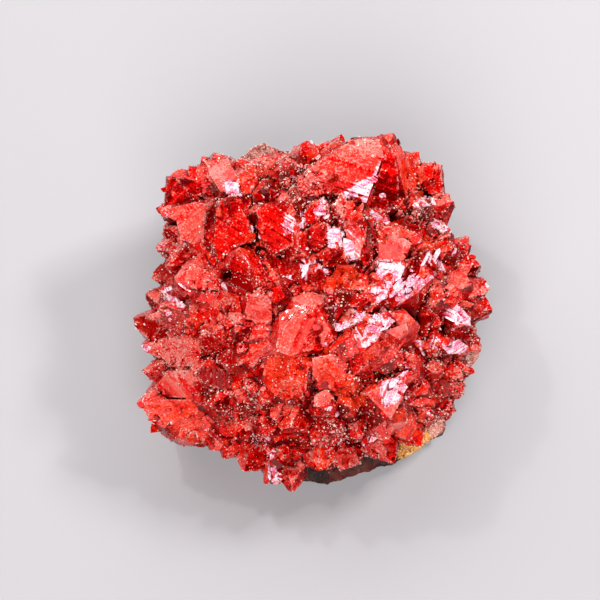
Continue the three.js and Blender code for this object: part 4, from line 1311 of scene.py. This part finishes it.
class SPECIMEN_OT_rock(bpy.types.Operator):
    """Break up the host rock: finely cut faces, chipped and lumped inwards, flat underneath, with grains."""

    bl_idname = "specimen.rock"
    bl_label = "Host rock"

    def execute(self, context):
        settings = context.scene.specimen_rock
        mesh = refined(whole_faces("host_rock", "rock_surface"), ROCK_EDGE)
        points = read(mesh.vertices, "co", 3)
        low, high = points.min(0), points.max(0)
        relief = (
            0.45 * chip_noise(points, 5.0 * MM, 7)
            + 0.3 * chip_noise(points, 2.2 * MM, 8)
            + 0.15 * chip_noise(points, 1.1 * MM, 10)
            + 0.2 * soft_noise(points, 1.2 * MM, 9)
        )
        raised = np.minimum(1, points[:, 2] / FLAT_FOOT)
        depth = settings.roughness * raised * (0.75 - relief)
        points -= depth[:, None] * read(mesh.vertices, "normal", 3)
        mesh.vertices.foreach_set("co", np.clip(points, low, high).ravel())
        mesh.update()
        piece = placed_piece("rock_surface", mesh, rock_finish(settings))
        finish_piece(piece, "host_rock", "host_rock")
        middles = facets(mesh)[1]
        for name, zones, colours, count in (
            ("rind_grains", RIND, RIND_COLOURS, settings.rind_grains),
            ("ochre_grains", OCHRE, OCHRE_COLOURS, settings.ochre_grains),
            ("rock_grains", WHOLE_ROCK, ROCK_COLOURS, settings.rock_grains),
        ):
            share = np.zeros(len(middles))
            for centre, radius in zones:
                away = np.linalg.norm(middles - on_part(centre), axis=1) / (radius * MM)
                away += 0.4 * soft_noise(middles, 1.6 * MM, 21)
                share = np.maximum(share, 1 - smooth(away, 0.4, 1.0))
            share *= middles[:, 2] > FLAT_FOOT
            piece = grain_piece(name, mesh, share, count, settings.grain_size, 83, colours)
            finish_piece(piece, "host_rock")
        return {"FINISHED"}


def lay_floor(settings):
    """A level square of four by four faces, its middle under the specimen."""
    reach = np.linspace(-FLOOR_REACH, FLOOR_REACH, 5)
    x, y = np.meshgrid(reach, reach, indexing="ij")
    points = np.stack([x.ravel(), y.ravel(), np.zeros(x.size)], 1)
    first = (np.arange(4)[:, None] * 5 + np.arange(4)).ravel()
    corners = (first[:, None] + np.array([0, 5, 6, 1])).ravel()
    finish = Finish("floor", Roughness=0.6)
    colour = finish.mix(finish.noise(0.15) * 0.12, settings.floor, settings.patches)
    floor = new_piece("floor", points, corners, np.full(16, 4), finish.set(Base_Color=colour))


def stand(device, place, way):
    """A light or a camera at a place, looking the way given."""
    thing = bpy.data.objects.new(device.name, device)
    thing.location = place
    thing.rotation_euler = way.to_track_quat("-Z", "Y").to_euler()
    bpy.context.scene.collection.objects.link(thing)
    return thing


class SPECIMEN_OT_stage(bpy.types.Operator):
    """Set out the stage: a plain pale floor, four broad lights and two small ones, and the camera."""

    bl_idname = "specimen.stage"
    bl_label = "Stage"

    def execute(self, context):
        settings = context.scene.specimen_stage
        scene = context.scene
        scene.view_settings.view_transform = "Standard"
        lay_floor(settings)
        target = Vector(GROWTH_ORIGIN)
        for name, place, size, power in (
            ("key_light", (0.30, 0.20, 0.36), 0.10, settings.key),
            ("soft_light", (-0.28, 0.30, 0.36), 0.34, settings.soft),
            ("back_light", (0.06, 0.46, 0.30), 0.30, settings.back),
            ("fill_light", (-0.06, -0.38, 0.42), 0.5, settings.fill),
            ("right_spark", (0.36, 0.16, 0.42), 0.03, settings.spark),
            ("left_spark", (-0.24, 0.26, 0.44), 0.03, settings.spark),
        ):
            light = bpy.data.lights.new(name, "AREA")
            light.size, light.energy, light.color = size, power, settings.tint
            stand(light, place, target - Vector(place))
        scene.world = bpy.data.worlds.new("studio")
        scene.world.use_nodes = True
        background = scene.world.node_tree.nodes["Background"].inputs
        background["Color"].default_value = (*settings.surroundings, 1)
        background["Strength"].default_value = settings.world
        camera = bpy.data.cameras.new("camera")
        camera.lens = camera.sensor_width * settings.distance / VIEW_WIDTH
        camera.clip_start, camera.clip_end = 0.01, 20
        place = on_part(VIEW_MIDDLE) + settings.distance * GROWTH_AXES[2]
        scene.camera = stand(camera, place, Vector(-GROWTH_AXES[2]))
        return {"FINISHED"}


class SPECIMEN_PT_sidebar(bpy.types.Panel):
    """Lists the specimen's operators and settings."""

    bl_idname = "SPECIMEN_PT_sidebar"
    bl_label = "Hematoid Quartz"
    bl_space_type = "VIEW_3D"
    bl_region_type = "UI"
    bl_category = "Specimen"

    def draw(self, context):
        for operator in OPERATORS:
            self.layout.operator(operator.bl_idname)
        for name, kind in SETTINGS.items():
            column = self.layout.column()
            for setting in kind.__annotations__:
                column.prop(getattr(context.scene, name), setting)


OPERATORS = (
    SPECIMEN_OT_crystals,
    SPECIMEN_OT_plates,
    SPECIMEN_OT_blades,
    SPECIMEN_OT_druse,
    SPECIMEN_OT_grains,
    SPECIMEN_OT_rock,
    SPECIMEN_OT_stage,
)
SETTINGS = {
    "specimen_quartz": QuartzSettings,
    "specimen_rock": RockSettings,
    "specimen_stage": StageSettings,
}


def register():
    for kind in (*SETTINGS.values(), *OPERATORS, SPECIMEN_PT_sidebar):
        bpy.utils.register_class(kind)
    for name, kind in SETTINGS.items():
        setattr(bpy.types.Scene, name, PointerProperty(type=kind))


def unregister():
    for name in SETTINGS:
        delattr(bpy.types.Scene, name)
    for kind in (SPECIMEN_PT_sidebar, *reversed(OPERATORS), *SETTINGS.values()):
        bpy.utils.unregister_class(kind)


def main():
    register()
    for operator in OPERATORS:
        group, name = operator.bl_idname.split(".")
        getattr(getattr(bpy.ops, group), name)()


if __name__ == "__main__":
    main()
